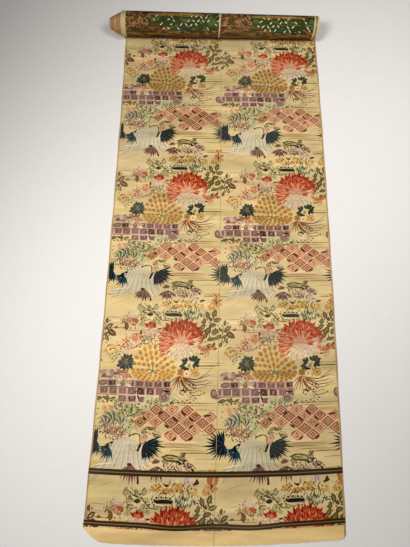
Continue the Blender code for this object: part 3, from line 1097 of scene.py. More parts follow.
def cutCloth(outline, maps, loose, longest):
    # the cloth's outline cut by the edges seen in its maps, a later map lying over an earlier one
    corners = [Vector(p) for p in shortSides(woundEdge(outline), longest)]
    rim = list(range(len(corners)))
    low, high = extent(corners)
    points, polygons, colours = [], [], []
    for level, (flat, coloured, _) in enumerate(maps):
        start = len(points)
        points += [(*p, level) for p in flat]
        polygons += [[start + i for i in face] for face, _ in coloured]
        colours += [colour for _, colour in coloured]
    stack = BVHTree.FromPolygons(points, polygons) if polygons else None

    def seen(x, y):
        return stack.ray_cast((x, y, len(maps)), (0.0, 0.0, -1.0)) if stack else (None, None, None)

    edges = []
    for level, (flat, _, sides) in enumerate(maps):
        number = {}
        for a, b in sides:
            middle = (flat[a] + flat[b]) / 2
            margin = cloth["nearby"]
            if not all(low[i] - margin < middle[i] < high[i] + margin for i in (0, 1)):
                continue
            top = seen(*middle)[0]
            if top is not None and top[2] > level + 0.5:  # a later map hides it
                continue
            for i in (a, b):
                if i not in number:
                    number[i] = len(corners)
                    corners.append(flat[i])
            edges.append((number[a], number[b]))
    corners += [Vector(p) for p in loose]
    flat, _, faces, _, _, owners = delaunay_2d_cdt(corners, edges, [rim], 0, cloth["sameSpot"], True)
    inside = []
    for face, owner in zip(faces, owners):
        if owner:
            middle = sum((flat[i] for i in face), Vector((0.0, 0.0))) / len(face)
            hit = seen(*middle)[2]
            inside.append((face, ("ground", 1.0) if hit is None else colours[hit]))
    return flat, inside


def seenEdges(flat, faces):
    # the edges between two colours, without the corners that hardly turn
    sides = {}
    for face, colour in faces:
        for a, b in zip(face, face[1:] + face[:1]):
            sides.setdefault((min(a, b), max(a, b)), []).append(colour)
    joined = {}
    for (a, b), colours in sides.items():
        if len(colours) == 1 or colours[0] != colours[1]:
            joined.setdefault(a, set()).add(b)
            joined.setdefault(b, set()).add(a)
    border = {i for pair, colours in sides.items() if len(colours) == 1 for i in pair}
    for i in list(joined):
        if len(joined[i]) != 2 or i in border:
            continue
        a, b = joined[i]
        span = flat[b] - flat[a]
        offset = flat[i] - flat[a]
        if b in joined[a] or not cloth["shortest"] < span.length < cloth["gridStep"]:
            continue
        if abs(span.x * offset.y - span.y * offset.x) / span.length < cloth["straighten"]:
            del joined[i]
            joined[a].remove(i)
            joined[b].remove(i)
            joined[a].add(b)
            joined[b].add(a)
    return [(a, b) for a, others in joined.items() for b in others if a < b]


def boundaryLoop(faces):
    edges = {}
    for face in faces:
        for a, b in zip(face, face[1:] + face[:1]):
            edges[(a, b)] = True
    rim = {a: b for a, b in edges if (b, a) not in edges}
    start = next(iter(rim))
    order, point = [start], rim[start]
    while point != start:
        order.append(point)
        point = rim[point]
    return order


def linear(value):
    value /= 255
    return value / 12.92 if value <= 0.04045 else ((value + 0.055) / 1.055) ** 2.4


linearYarns = {name: (linear(r), linear(g), linear(b), gilt) for name, (r, g, b, gilt) in yarns.items()}


def tintedMesh(name, points, faces, colours):
    # a cloth mesh whose faces carry their yarn; in its new UV map each face fills the unit square
    mesh = bpy.data.meshes.new(name)
    mesh.from_pydata(points, [], faces)
    mesh.uv_layers.new(name="weave")
    tints = [share for face, colour in zip(faces, colours) for _ in face for share in colour]
    mesh.color_attributes.new("yarn", "FLOAT_COLOR", "CORNER").data.foreach_set("color", tints)
    mesh.shade_smooth()
    mesh.set_sharp_from_angle(angle=math.radians(cloth["sharpFrom"]))
    mesh.update()
    piece = bpy.data.objects.new(name, mesh)
    bpy.context.collection.objects.link(piece)
    mesh.calc_loop_triangles()
    print(f"{name}: {len(mesh.loop_triangles)} triangles")
    return piece


def roundedSpot(point):
    return round(point[0], 3), round(point[1], 3)


def clothMesh(name, outline, maps, loose, longest, shown, hidden, ground, backYarn, turnedOver):
    # the figured face, a plain back on a coarse grid, and a rim that joins their edges
    flat, inside = cutCloth(outline, maps, loose, longest)
    topFaces = [face for face, _ in inside]
    rim = boundaryLoop(topFaces)
    rimPoints = [tuple(flat[i]) for i in rim]
    low, high = extent(rimPoints)
    backStep = cloth["turnStep"] if turnedOver else cloth["underStep"]
    coarse = looseGrid(low, high, cloth["underStep"], backStep)
    backFlat, backInside = cutCloth(rimPoints, [], coarse, math.inf)
    points, numbers = [], []
    for spots, shape, cell in ((flat, shown, inside), (backFlat, hidden, backInside)):
        used = sorted({i for face, _ in cell for i in face})
        numbers.append({old: len(points) + new for new, old in enumerate(used)})
        points += [shape(*spots[i]) for i in used]
    number, backNumber = numbers
    faces, colours = [], []
    for face, (yarn, shade) in inside:
        faces.append([number[i] for i in face])
        r, g, b, gilt = linearYarns[ground if yarn == "ground" else yarn]
        colours.append((r * shade, g * shade, b * shade, gilt))
    for face, _ in backInside:
        faces.append([backNumber[i] for i in reversed(face)])
        colours.append(linearYarns[backYarn])
    nearest = {roundedSpot(p): backNumber[i] for i, p in enumerate(backFlat) if i in backNumber}
    below = [nearest[roundedSpot(p)] for p in rimPoints]
    for i, a in enumerate(rim):
        j = (i + 1) % len(rim)
        faces.append([number[rim[j]], number[a], below[i], below[j]])
        colours.append(linearYarns["selvage"])
    if turnedOver:
        faces = [face[::-1] for face in faces]
    return tintedMesh(name, points, faces, colours)


def looseGrid(low, high, stepAcross, stepAlong):
    columns = max(2, round((high[0] - low[0]) / stepAcross))
    rows = max(2, round((high[1] - low[1]) / stepAlong))
    made = []
    for i in range(1, columns):
        for j in range(1, rows):
            shift = 0.5 * (j % 2) if i < columns - 1 else 0.0
            made.append(
                (low[0] + (high[0] - low[0]) * (i + shift) / columns, low[1] + (high[1] - low[1]) * j / rows)
            )
    return made


def laidOutline():
    half = cloth["halfWidth"] * 1000
    near, far = cloth["nearEnd"] * 1000, (cloth["rollLine"] - cloth["seamGap"]) * 1000
    lot = random.Random(5)

    def wear(inset, corner):
        back, reach = cloth[corner]
        return 1000 * back * (1 - inset / (reach * 1000)) ** 2 if inset < reach * 1000 else 0.0

    end = []
    steps = cloth["endSteps"]
    for i in range(steps + 1):
        across = -half + 2 * half * i / steps
        worn = wear(across + half, "wornCorner") + wear(half - across, "softCorner")
        end.append((across, near + worn + lot.uniform(*cloth["endFray"])))
    sides = []
    for sign, swing, wave, start in cloth["selvages"]:
        rows = range(int(near) + start, int(far) - 4, cloth["selvageStep"])
        sides.append([(sign * (half + swing * math.sin(y / wave) - swing), y) for y in rows])
    corner = half - cloth["farInset"]
    return end + sides[0] + [(corner, far), (-corner, far)] + sides[1][::-1]


def clothGrid(outline):
    # free points all over, and closer ones where the cloth rises in a fold
    low, high = extent(outline)
    plain = looseGrid(low, high, cloth["gridStep"], cloth["gridStep"])
    fine = looseGrid(low, high, cloth["foldStep"], cloth["foldStep"])
    return plain + [p for p in fine if foldHeight(*laidPlace(*p)) > cloth["foldSeen"]]


def rise(along, middle, reach, height):
    return height * bump(along - middle, reach)


def drifted(across, along):
    # where a thread of the even repeat lies: the loom beat it closer in some places than in others
    later = sum(rise(along, *one) for one in loom["later"])
    if along < loom["joinedAt"]:
        later += loom["joinedLater"] + loom["closer"] * (along - loom["joinedAt"])
    middle, reach = loom["asideTurn"]
    aside = loom["aside"] * (1 - math.tanh((along - middle) / reach)) + rise(along, *loom["asideRise"])
    middle, reach = loom["widerTurn"]
    wider = loom["wider"] * math.tanh((along - middle) / reach) - loom["narrower"] + rise(
        along, *loom["widerRise"]
    )
    return across + aside + wider * across / (2000 * cloth["halfWidth"]), along - later


def repeatMaps():
    # one repeat with what reaches into it from its neighbours, then that map laid over and over
    wide, high = repeat["columnPitch"], repeat["rowPitch"]
    woven = wovenRepeat()
    around = []
    for row in (-1, 0, 1):
        for column in (-1, 0, 1):
            around += [
                (yarn, shade, [(s + wide * column, t + high * row) for s, t in shape]) for yarn, shade,
                shape in woven
            ]
    one = colourMap(box(0, 0, wide, high), around, cloth["gridStep"])
    print(f"one repeat: {len(woven)} figures, {len(one[2])} edges seen")
    placed = []
    for row in repeat["rows"]:
        for column in repeat["columns"]:
            right, level = wide * column, repeat["firstRow"] - high * row
            placed.append(movedMap(one, lambda s, t: drifted(right + s, level - t)))
    return placed


def brocadeCloth():
    half = cloth["halfWidth"] * 1000
    wide, ends, plain = half + bands["pastEdge"], bands["pastEnds"], bands["plainFrom"]
    overlays = [("plainEnd", 1.0, box(-wide, plain, wide, plain - bands["plainDeep"]))]
    crease = bands["creaseWidth"] / 2
    for side in (-1, 1):
        overlays.append(
            ("selvage", 1.0, box(side * wide, -ends, side * (half - bands["selvageWidth"]), ends))
        )
    overlays.append(("crease", 1.0, box(-crease, -ends, crease, ends)))
    for band in (bands["upper"], bands["lower"]):
        middle = band["light"] / 2
        dark = crossBand(band, middle + band["dark"], -middle - band["lastDark"], wide)
        overlays.append(("bandDark", 1.0, dark))
        overlays.append(("bandLight", 1.0, crossBand(band, middle, -middle, wide)))
    outline = laidOutline()
    wide, ends = wide + bands["mapPastEdge"], ends + bands["mapPastEnds"]
    over = colourMap(box(-wide, -ends, wide, ends), overlays, cloth["gridStep"])
    return clothMesh(
        "brocadeCloth", outline, repeatMaps() + [over], clothGrid(outline), cloth["gridStep"],
        laidTop, laidUnder, "ground", "reverseBrown", False,
    )


def reverseFigures():
    # floats on the back: salmon plumes, a green cloud with ivory dashes and a painted sheen, a gold and brown
    # strip, dark flecks
    lot = random.Random(23)
    figures = []
    for left in (-350, 0, 350):

        def streaks(names, count, across, along, length, width, slope=6.0):
            for i in range(count):
                spot = (left + across[0] + (across[1] - across[0]) * (i * 0.618 % 1), lot.uniform(*along))
                size = length * lot.uniform(0.6, 1.2)
                lenses(figures, names[i % len(names)], [(*spot, lot.uniform(-slope, slope), size, width)])

        add(figures, "reversePine", box(left, 56, left + 350, 108))
        streaks(("reverseGreen", "reversePine", "reversePine", "leafBrown"), 60, (0, 350), (84, 116), 34, 5)
        streaks(
            ("reverseGold", "leafOlive", "reverseGold", "leafBrown", "reverseGreen"), 120, (0, 350),
            (158, 199), 44, 4,
        )
        streaks(("black", "reversePine", "leafBrown"), 40, (0, 350), (190, 236), 60, 4)
        ovals(figures, "reverseGold", [(left + 200, 116, 200, 16)])
        ovals(figures, "reverseGreen", [
            (left + 132, 134, 70, 26), (left + 196, 142, 120, 44), (left + 262, 148, 120, 56),
            (left + 318, 140, 60, 54),
        ])
        # the oval at left + 322 is a painted light-green sheen near the roll's right end; the two others are
        # paler green patches
        ovals(figures, "reverseLeaf", [
            (left + 128, 134, 34, 12), (left + 322, 136, 34, 30), (left + 236, 136, 44, 10),
        ])
        streaks(
            ("reversePine", "reverseLeaf", "reverseGreen", "leafOlive"), 90, (104, 348), (116, 172), 17,
            3.6,
        )
        streaks(("reverseSalmon", "reversePine", "reverseGold"), 26, (120, 340), (160, 178), 15, 3)
        ovals(figures, "reverseTeal", [(left + 206, 164, 40, 11)])
        for row in range(4):
            for i in range(14):
                if lot.random() < 0.42:
                    heading = (44 if (i + row // 2) % 2 else -44) + lot.uniform(-9, 9)
                    spot = (left + 116 + 17 * i + 8 * (row % 2), 123 + 13 * row + lot.uniform(-2, 2))
                    lenses(figures, "reverseIvory", [(*spot, heading, lot.uniform(10, 15), 4.2)])
        for i in range(24):  # bunches of curved lines, each a few arcs side by side
            across, along = left + 6 + 98 * (i * 0.618 % 1), lot.uniform(108, 164)
            heading = lot.uniform(20, 160)
            for j in range(4):
                root = walk((across, along), heading - 90, 3.8 * j)
                middle, tip = walk(root, heading + 16, 11), walk(root, heading + 46, 22 - 2 * j)
                yarn = ("reverseSalmon", "reverseSalmon", "black", "fawn", "reverseGold")[(i + j) % 5]
                lines(figures, yarn, 2.4, [[root, middle, tip]], 0.6, 0.4)
        streaks(("black", "reversePine", "reverseGold", "black"), 50, (0, 108), (106, 162), 10, 3.2, 60.0)
        streaks(
            ("reverseSalmon", "reverseIvory", "reverseSalmon", "black"), 34, (150, 320), (104, 118), 8,
            2.6, 50.0,
        )
    for name, shade, shape in list(figures):  # the same again behind the roll
        downs = [down for _, down in shape]
        if min(downs) > 108 and max(downs) < 190:
            figures.append((name, shade, [(across, down - 108) for across, down in shape]))
    half = cloth["halfWidth"] * 1000
    for left, right in ((-half, -half + 17), (half - 6, half), (half - 16, half - 10)):
        add(figures, "reverseEdge", box(left, 0, right, 260))
    add(figures, "reverseIvory", box(-2, 0, 2.6, 260), 0.9)
    return figures


# the outer turn's sheet, in mm: gaps at its ends, free points and the longest side of an edge
turnSheet = {"start": 0.6, "endGap": 0.4, "gridAcross": 14.0, "gridAlong": 4.0, "longest": 4.0}


def rolledTurn():
    half = cloth["halfWidth"] * 1000
    start, end, step = turnSheet["start"], roundLength - turnSheet["endGap"], turnSheet["longest"]
    outline = [(-half, start), (half, start), (half, end), (-half, end)]
    grid = looseGrid((-half, start), (half, end), turnSheet["gridAcross"], turnSheet["gridAlong"])
    floats = colourMap(outline, reverseFigures(), step)
    return clothMesh(
        "rolledTurn", outline, [floats], grid, step, turnOuter, turnInner, "reverseBrown", "ground", True,
    )


# the turns inside the outer one
coil = {
    "wallShare": 0.86,  # of the cloth's thickness, so that the turns don't touch
    "columns": (-1.0, -0.985, -0.965, -0.90, 0.0, 0.90, 0.965, 0.985, 1.0),
    "edgeColumns": 3,  # strips at either side that show the yarn of the edge
    "edgeYarns": ("fawn", "terracotta", "fawn", "mauve", "tanShade"),
    "steadiest": 0.4,  # share of the wander that the outermost turn has
}


def rolledLayers():
    # one thin wall wound inward, its left edge stepping out and its right edge drawn in
    lot = random.Random(31)
    half = cloth["halfWidth"]
    wall = cloth["thickness"] * coil["wallShare"]
    outermost = roll["radius"] - roll["pitch"] - cloth["thickness"] - 2 * cloth["seamGap"]
    turns = (outermost - roll["innermost"]) / roll["pitch"]
    count = int(turns * roll["stepsRound"])
    columns = coil["columns"]
    wander = [lot.uniform(-1, 1) for _ in range(int(turns) + 3)]
    lean = math.atan(roll["taper"] / half)
    firstShift = middleLine(cloth["rollLine"]) - roll["drift"]
    points, faces, skins = [], [], []
    tops, bottoms = [], []
    for i in range(count + 1):
        turn = i / roll["stepsRound"]
        radius = outermost - roll["pitch"] * turn
        share = min(1.0, (outermost - radius) / roll["coneDrop"])
        whole = int(turn)
        ease = turn - whole
        wave = wander[whole] * (1 - ease) + wander[whole + 1] * ease
        loose = coil["steadiest"] + (1 - coil["steadiest"]) * share
        shift = firstShift - roll["coneDepth"] * share + roll["edgeWander"] * (wave - 1) * loose
        angle = 2 * math.pi * turn
        for rows, distance in ((tops, radius), (bottoms, radius - wall)):
            rows.append([])
            for column in columns:
                x = column * half + shift
                axis = roll["radius"] - math.tan(lean) * x
                rows[-1].append(len(points))
                points.append(
                    (x, cloth["rollLine"] + distance * math.sin(angle), axis - distance * math.cos(angle))
                )
    strips = len(columns) - 1
    for i in range(count):
        yarn = coil["edgeYarns"][(i // roll["stepsRound"]) % len(coil["edgeYarns"])]
        for j in range(strips):
            hidden = coil["edgeColumns"] <= j < strips - coil["edgeColumns"]
            faces.append([tops[i][j], tops[i + 1][j], tops[i + 1][j + 1], tops[i][j + 1]])
            faces.append([bottoms[i][j + 1], bottoms[i + 1][j + 1], bottoms[i + 1][j], bottoms[i][j]])
            skins += ["reverseBrown" if hidden else yarn, "ground"]
        faces.append([tops[i][0], bottoms[i][0], bottoms[i + 1][0], tops[i + 1][0]])
        faces.append([tops[i + 1][-1], bottoms[i + 1][-1], bottoms[i][-1], tops[i][-1]])
        skins += ["selvage", "selvage"]
    for row, other, flip in ((tops[0], bottoms[0], False), (tops[-1], bottoms[-1], True)):
        for j in range(strips):
            face = [row[j], row[j + 1], other[j + 1], other[j]]
            faces.append(face[::-1] if flip else face)
            skins.append("selvage")
    length = sum(
        2 * math.pi * (outermost - roll["pitch"] * (i + 0.5) / roll["stepsRound"]) for i in range(count)
    )
    print(f"inner turns: {turns:.1f}, {length / roll['stepsRound']:.3f} m of cloth")
    inner = tintedMesh("rolledLayers", points, faces, [linearYarns[yarn] for yarn in skins])
    return inner, length / roll["stepsRound"]


# loose ends along the cut end: gaps in mm, lengths in metres, headings in degrees
fray = {
    "atCorner": 7,
    "fromCorner": 6,
    "rightGap": 9,
    "leftGap": 11,
    "between": 10,
    "clearOfCorner": 60,
    "insets": ((30, 38), (62, 20), (math.inf, 2)),  # nearer the left corner than this: so far in
    "cornerLength": (0.005, 0.012),
    "betweenLength": (0.003, 0.006),
    "heading": (-125, -55),
    "bend": (-0.5, 0.5),
    "parts": 5,
    "radius": 0.00022,
    "startHeight": 0.7,  # shares of the cloth's thickness
    "drop": 0.45,
}


def frayedThreads():
    lot = random.Random(41)
    half = cloth["halfWidth"] * 1000
    joined = []
    corner, clear = fray["fromCorner"], fray["clearOfCorner"]
    spots = [half - corner - fray["rightGap"] * i for i in range(fray["atCorner"])]
    spots += [-half + corner + fray["leftGap"] * i for i in range(fray["atCorner"])]
    spots += [lot.uniform(-half + clear, half - clear) for _ in range(fray["between"])]
    for number, across in enumerate(spots):
        inset = next(deep for reach, deep in fray["insets"] if across < -half + reach)
        x, y, _ = laidTop(across, cloth["nearEnd"] * 1000 + inset)
        length = lot.uniform(*fray["cornerLength" if number < 2 * fray["atCorner"] else "betweenLength"])
        heading = math.radians(lot.uniform(*fray["heading"]))
        curve = bpy.data.curves.new(f"thread{number}", "CURVE")
        curve.dimensions = "3D"
        curve.bevel_depth = fray["radius"]
        curve.bevel_resolution = 1
        curve.use_fill_caps = True
        spline = curve.splines.new("POLY")
        spline.points.add(fray["parts"])
        bend = lot.uniform(*fray["bend"])
        for i, point in enumerate(spline.points):
            share = i / fray["parts"]
            turned = heading + bend * share
            height = cloth["thickness"] * (fray["startHeight"] - fray["drop"] * share)
            point.co = (
                x + length * share * math.cos(turned), y + length * share * math.sin(turned), height, 1,
            )
        joined.append(bpy.data.objects.new(f"thread{number}", curve))
        bpy.context.collection.objects.link(joined[-1])
    bpy.ops.object.select_all(action="DESELECT")
    for one in joined:
        one.select_set(True)
    bpy.context.view_layer.objects.active = joined[0]
    bpy.ops.object.convert(target="MESH")
    bpy.ops.object.join()
    piece = bpy.context.view_layer.objects.active
    piece.name = "frayedThreads"
    piece.data.name = "frayedThreads"
    bpy.ops.object.mode_set(mode="EDIT")
    bpy.ops.mesh.select_all(action="SELECT")
    bpy.ops.mesh.remove_doubles(threshold=0.00001)
    bpy.ops.object.mode_set(mode="OBJECT")
    bpy.ops.object.select_all(action="DESELECT")
    return piece


# the silk's grain over each face's unit square: pitches as shares of it, noises as stretch and detail,
# strengths as shares of the colour; the threads come out finer than can be told apart
silk = {
    "weftPitch": 0.0011,
    "warpPitch": 0.0016,
    "weftRib": 0.5,
    "warpRib": 0.2,
    # painted shade: how much the ribs darken and lighten the colour, in step with their bump
    "paintedRibShade": 0.10,
    "weftThread": ((26.0, 900.0, 1.0), 3.0),
    "warpThread": ((420.0, 9.0, 1.0), 2.0),
    "threadTone": 0.9,
    "threadHeight": 1.2,
    "strays": (  # stretch, detail, strength: clouds, slubs and long slubs
        ((14.0, 30.0, 1.0), 3.0, 0.75),
        ((110.0, 290.0, 1.0), 2.0, 1.45),
        ((22.0, 240.0, 1.0), 2.0, 1.05),
    ),
    "giltSmooth": 0.30,
    "giltMetal": 0.55,
    "threadRough": 0.3,
}
# how the cloth has aged, with its painted satin sheen and highlights: noises as stretch and detail
age = {
    "crumple": ((4.0, 17.0, 1.0), 2.0),
    "tint": ((4.0, 9.0, 1.0), 2.0),
    "tints": ((0.94, 0.98, 0.84), (1.06, 1.02, 1.12)),
    # fading patches, which also paint satin highlights by mixing toward light cream
    "fadingAndSheen": ((2.3, 2.3, 2.3), 3.0),
    "fadeAndSheenFrom": 0.42,
    "fadeAndSheenTone": 3.0,
    "fadedAndSheen": (0.78, 0.66, 0.46),
    "soiling": ((9.0, 19.8, 9.0), 4.0),
    "soilFrom": 0.50,
    "soilTone": 2.6,
    "soiled": (0.34, 0.22, 0.10),
    # painted satin sheen: brighter and darker bands stretched across the cloth, which also stand in for the
    # shade of its soft waves
    "paintedSheen": ((3.2, 19.0, 1.0), 3.0),
    "gleam": (0.95, 0.51),  # the satin noise's share of the brightness, and what is there without it
}
finishes = {
    "brocadeFace": {"Ribs": 0.9, "Streaks": 0.35, "Roughness Base": 0.62, "Fade": 0.10, "Soil": 0.25},
    "brocadeReverse": {"Ribs": 1.0, "Streaks": 0.55, "Roughness Base": 0.60, "Fade": 0.05, "Soil": 0.30},
    "rolledEdge": {"Ribs": 0.8, "Streaks": 0.5, "Roughness Base": 0.70, "Fade": 0.05, "Soil": 0.35},
}
relief = {  # bump strength of each finish, and the depths of threads and crumples in metres
    "brocadeFace": 0.35,
    "brocadeReverse": 0.45,
    "rolledEdge": 0.40,
    "threadDepth": 0.00025,
    "crumpled": 0.6,
    "crumpleDepth": 0.020,
}


def mathNode(tree, operation, first, second=None):
    node = tree.nodes.new("ShaderNodeMath")
    node.operation = operation
    for i, value in enumerate((first, second)):
        if isinstance(value, (int, float)):
            node.inputs[i].default_value = value
        elif value is not None:
            tree.links.new(value, node.inputs[i])
    return node.outputs[0]


def mixColour(tree, share, first, second, blend="MIX"):
    node = tree.nodes.new("ShaderNodeMix")
    node.data_type = "RGBA"
    node.blend_type = blend
    for slot, value in ((0, share), (6, first), (7, second)):
        if isinstance(value, (int, float)):
            node.inputs[slot].default_value = value
        elif isinstance(value, tuple):
            node.inputs[slot].default_value = (*value, 1.0)
        else:
            tree.links.new(value, node.inputs[slot])
    return node.outputs[2]


def noise(tree, vector, stretch, detail):
    mapping = tree.nodes.new("ShaderNodeMapping")
    mapping.inputs["Scale"].default_value = stretch
    tree.links.new(vector, mapping.inputs["Vector"])
    node = tree.nodes.new("ShaderNodeTexNoise")
    node.inputs["Scale"].default_value = 1.0
    node.inputs["Detail"].default_value = detail
    tree.links.new(mapping.outputs[0], node.inputs["Vector"])
    return node.outputs["Fac"]


def plus(tree, first, second):
    return mathNode(tree, "ADD", first, second)


def times(tree, first, second):
    return mathNode(tree, "MULTIPLY", first, second)


def minus(tree, first, second):
    return mathNode(tree, "SUBTRACT", first, second)


def brightened(tree, colour, level):
    node = tree.nodes.new("ShaderNodeVectorMath")
    node.operation = "SCALE"
    tree.links.new(colour, node.inputs[0])
    tree.links.new(level, node.inputs["Scale"])
    return node.outputs[0]


def startGroup(name, inputs, outputs):
    group = bpy.data.node_groups.new(name, "ShaderNodeTree")
    for way, sockets in (("INPUT", inputs), ("OUTPUT", outputs)):
        for title in sockets:
            kind = {"Color": "Color", "Yarn": "Color", "Vector": "Vector"}.get(title, "Float")
            group.interface.new_socket(name=title, in_out=way, socket_type=f"NodeSocket{kind}")
    return group, group.nodes.new("NodeGroupInput").outputs, group.nodes.new("NodeGroupOutput").inputs


def silkWeaveGroup():
    # the grain of weft, warp and uneven thread over the yarn's own colour, with the ribs' painted shade
    group, given, made = startGroup(
        "silkWeave", ("Vector", "Yarn", "Gilt", "Ribs", "Streaks", "Roughness Base"),
        ("Color", "Roughness", "Metallic", "Height"),
    )
    vector = given["Vector"]
    split = group.nodes.new("ShaderNodeSeparateXYZ")
    group.links.new(vector, split.inputs[0])
    weft = mathNode(group, "SINE", times(group, split.outputs[1], 2 * math.pi / silk["weftPitch"]))
    warp = mathNode(group, "SINE", times(group, split.outputs[0], 2 * math.pi / silk["warpPitch"]))
    weftThread = noise(group, vector, *silk["weftThread"])
    warpThread = noise(group, vector, *silk["warpThread"])
    thread = minus(group, plus(group, weftThread, warpThread), 1.0)
    ribbed = plus(group, times(group, weft, silk["weftRib"]), times(group, warp, silk["warpRib"]))
    # painted shade of the ribs, following the same waves as their bump
    tone = times(group, ribbed, times(group, given["Ribs"], silk["paintedRibShade"]))
    streak = times(group, thread, times(group, given["Streaks"], silk["threadTone"]))
    level = plus(group, plus(group, tone, streak), 1.0)
    for stretch, detail, strength in silk["strays"]:
        swing = minus(group, noise(group, vector, stretch, detail), 0.5)
        level = plus(group, level, times(group, swing, strength))
    group.links.new(brightened(group, given["Yarn"], level), made["Color"])
    rough = minus(group, given["Roughness Base"], times(group, given["Gilt"], silk["giltSmooth"]))
    rough = plus(group, rough, times(group, minus(group, weftThread, 0.5), silk["threadRough"]))
    group.links.new(rough, made["Roughness"])
    group.links.new(times(group, given["Gilt"], silk["giltMetal"]), made["Metallic"])
    height = plus(group, ribbed, times(group, thread, silk["threadHeight"]))
    group.links.new(times(group, height, given["Ribs"]), made["Height"])
    return group


def oldClothAndSheenGroup():
    # soft fading that also paints satin highlights, soiling and a painted satin sheen over the colour, and
    # the height of faint crumples
    group, given, made = startGroup("oldClothAndSheen", ("Vector", "Color", "Fade", "Soil"), ("Color", "Height"))
    vector = given["Vector"]
    group.links.new(noise(group, vector, *age["crumple"]), made["Height"])
    tint = mixColour(group, noise(group, vector, *age["tint"]), *age["tints"])

    def patches(stretch, limit, strength, tone):
        over = mathNode(group, "MAXIMUM", minus(group, noise(group, vector, *stretch), limit), 0.0)
        return times(group, times(group, over, strength), tone)

    # fading, partly a painted satin highlight: noise patches mixed toward light cream
    fadeAndSheen = patches(age["fadingAndSheen"], age["fadeAndSheenFrom"], given["Fade"], age["fadeAndSheenTone"])
    fadedAndSheen = mixColour(group, fadeAndSheen, given["Color"], age["fadedAndSheen"])
    soil = patches(age["soiling"], age["soilFrom"], given["Soil"], age["soilTone"])
    soiled = mixColour(group, soil, fadedAndSheen, age["soiled"], "MULTIPLY")
    # painted satin sheen and painted shade of soft waves: a stretched noise scales the brightness
    share, least = age["gleam"]
    gleam = plus(group, times(group, noise(group, vector, *age["paintedSheen"]), share), least)
    group.links.new(brightened(group, mixColour(group, 1.0, soiled, tint, "MULTIPLY"), gleam), made["Color"])
    return group


silkWeave = silkWeaveGroup()
oldClothAndSheen = oldClothAndSheenGroup()


def startMaterial(name):
    material = bpy.data.materials.new(name)
    material.use_nodes = True
    return material, material.node_tree, material.node_tree.nodes["Principled BSDF"].inputs


def bumpNode(tree, height, strength, depth):
    node = tree.nodes.new("ShaderNodeBump")
    node.inputs["Strength"].default_value = strength
    node.inputs["Distance"].default_value = depth
    tree.links.new(height, node.inputs["Height"])
    return node


def silkFinish(name):
    material, tree, shader = startMaterial(name)
    shader["Specular IOR Level"].default_value = 0.06
    flat = tree.nodes.new("ShaderNodeUVMap")
    flat.uv_map = "weave"
    place = tree.nodes.new("ShaderNodeTexCoord")
    lot = tree.nodes.new("ShaderNodeAttribute")
    lot.attribute_name = "yarn"
    # the aging node also paints the satin sheen and highlights over the colour
    weave, worn = tree.nodes.new("ShaderNodeGroup"), tree.nodes.new("ShaderNodeGroup")
    weave.node_tree, worn.node_tree = silkWeave, oldClothAndSheen
    for key, value in finishes[name].items():
        (weave if key in weave.inputs else worn).inputs[key].default_value = value
    tree.links.new(flat.outputs[0], weave.inputs["Vector"])
    tree.links.new(lot.outputs["Color"], weave.inputs["Yarn"])
    tree.links.new(lot.outputs["Alpha"], weave.inputs["Gilt"])
    tree.links.new(place.outputs["Object"], worn.inputs["Vector"])
    tree.links.new(weave.outputs["Color"], worn.inputs["Color"])
    tree.links.new(worn.outputs["Color"], shader["Base Color"])
    tree.links.new(weave.outputs["Roughness"], shader["Roughness"])
    tree.links.new(weave.outputs["Metallic"], shader["Metallic"])
    crumpled = bumpNode(tree, worn.outputs["Height"], relief["crumpled"], relief["crumpleDepth"])
    raised = bumpNode(tree, weave.outputs["Height"], relief[name], relief["threadDepth"])
    tree.links.new(crumpled.outputs["Normal"], raised.inputs["Normal"])
    tree.links.new(raised.outputs["Normal"], shader["Normal"])
    return material


def threadFinish():
    material, tree, shader = startMaterial("looseSilk")
    shader["Sheen Weight"].default_value = 0.2
    place = tree.nodes.new("ShaderNodeTexCoord")
    spots = noise(tree, place.outputs["Object"], (60.0, 60.0, 60.0), 2.0)
    tree.links.new(mixColour(tree, spots, (0.62, 0.48, 0.26), (0.80, 0.70, 0.50)), shader["Base Color"])
    tree.links.new(plus(tree, times(tree, spots, 0.3), 0.4), shader["Roughness"])
    return material


def floorFinish():
    material, tree, shader = startMaterial("paleFloor")
    place = tree.nodes.new("ShaderNodeTexCoord")
    grain = noise(tree, place.outputs["Object"], (40.0, 40.0, 40.0), 3.0)
    tree.links.new(mixColour(tree, grain, (0.80, 0.78, 0.765), (0.84, 0.82, 0.80)), shader["Base Color"])
    shader["Roughness"].default_value = 0.85
    return material


# the pieces
brocade = brocadeCloth()
outerTurn = rolledTurn()
layers, layersLength = rolledLayers()
threads = frayedThreads()

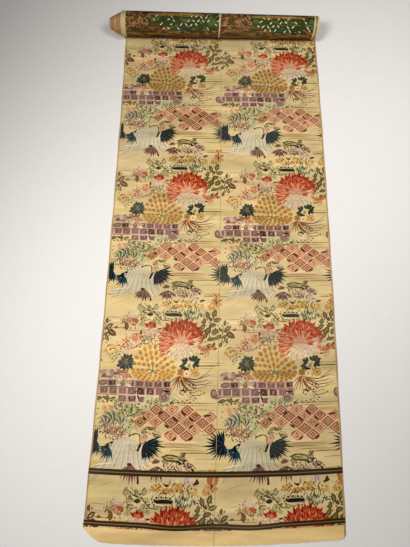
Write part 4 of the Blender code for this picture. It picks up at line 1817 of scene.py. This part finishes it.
dressed = (
    (brocade, silkFinish("brocadeFace")),
    (outerTurn, silkFinish("brocadeReverse")),
    (layers, silkFinish("rolledEdge")),
    (threads, threadFinish()),
)
for piece, material in dressed:
    piece.data.materials.clear()
    piece.data.materials.append(material)
print("materials placed")

for piece, node, slot in (
    (brocade, "laid_stretch", "brocade_face"), (outerTurn, "outer_turn", "brocade_reverse"),
    (layers, "rolled_layers", "rolled_edges"),
):
    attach(piece, "root")
    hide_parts(node)
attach(threads, "root")

# floor, light and camera
room = {"floorSize": 8.0, "floorDrop": 0.0004, "glow": 0.10, "glowColour": (1.0, 0.985, 0.96, 1.0)}
bpy.ops.mesh.primitive_plane_add(size=room["floorSize"], location=(0, 0, -room["floorDrop"]))
floor = bpy.context.object
floor.name = "floor"
floor.data.materials.append(floorFinish())

lights = (  # name, place, aim, width, height, watts, colour
    ("windowLight", (0.68, 0.24, 1.45), (0.63, 2.06, 0.0), 0.7, 0.7, 15.0, (1.0, 0.975, 0.94)),
    ("roomLight", (-0.77, -0.14, 1.45), (2.50, -1.03, 0.0), 0.7, 0.7, 34.5, (1.0, 0.98, 0.95)),
)
for name, place, aim, wide, high, watts, colour in lights:
    lamp = bpy.data.lights.new(name, "AREA")
    lamp.shape = "RECTANGLE"
    lamp.size, lamp.size_y, lamp.energy, lamp.color = wide, high, watts, colour
    holder = bpy.data.objects.new(name, lamp)
    holder.location = place
    holder.rotation_euler = (Vector(aim) - Vector(place)).to_track_quat("-Z", "Y").to_euler()
    bpy.context.collection.objects.link(holder)
world = bpy.data.worlds.new("softRoom")
world.use_nodes = True
world.node_tree.nodes["Background"].inputs["Color"].default_value = room["glowColour"]
world.node_tree.nodes["Background"].inputs["Strength"].default_value = room["glow"]
bpy.context.scene.world = world
bpy.context.scene.view_settings.view_transform = "Standard"

view = {"place": (-0.0387, -0.4103, 1.1989), "tilt": (15.37, -0.16, 1.21), "lens": 27.036}
camera = bpy.data.objects.new("camera", bpy.data.cameras.new("camera"))
camera.location = view["place"]
camera.rotation_euler = [math.radians(angle) for angle in view["tilt"]]
camera.data.lens = view["lens"]
bpy.context.collection.objects.link(camera)
bpy.context.scene.camera = camera
print("light and camera placed")
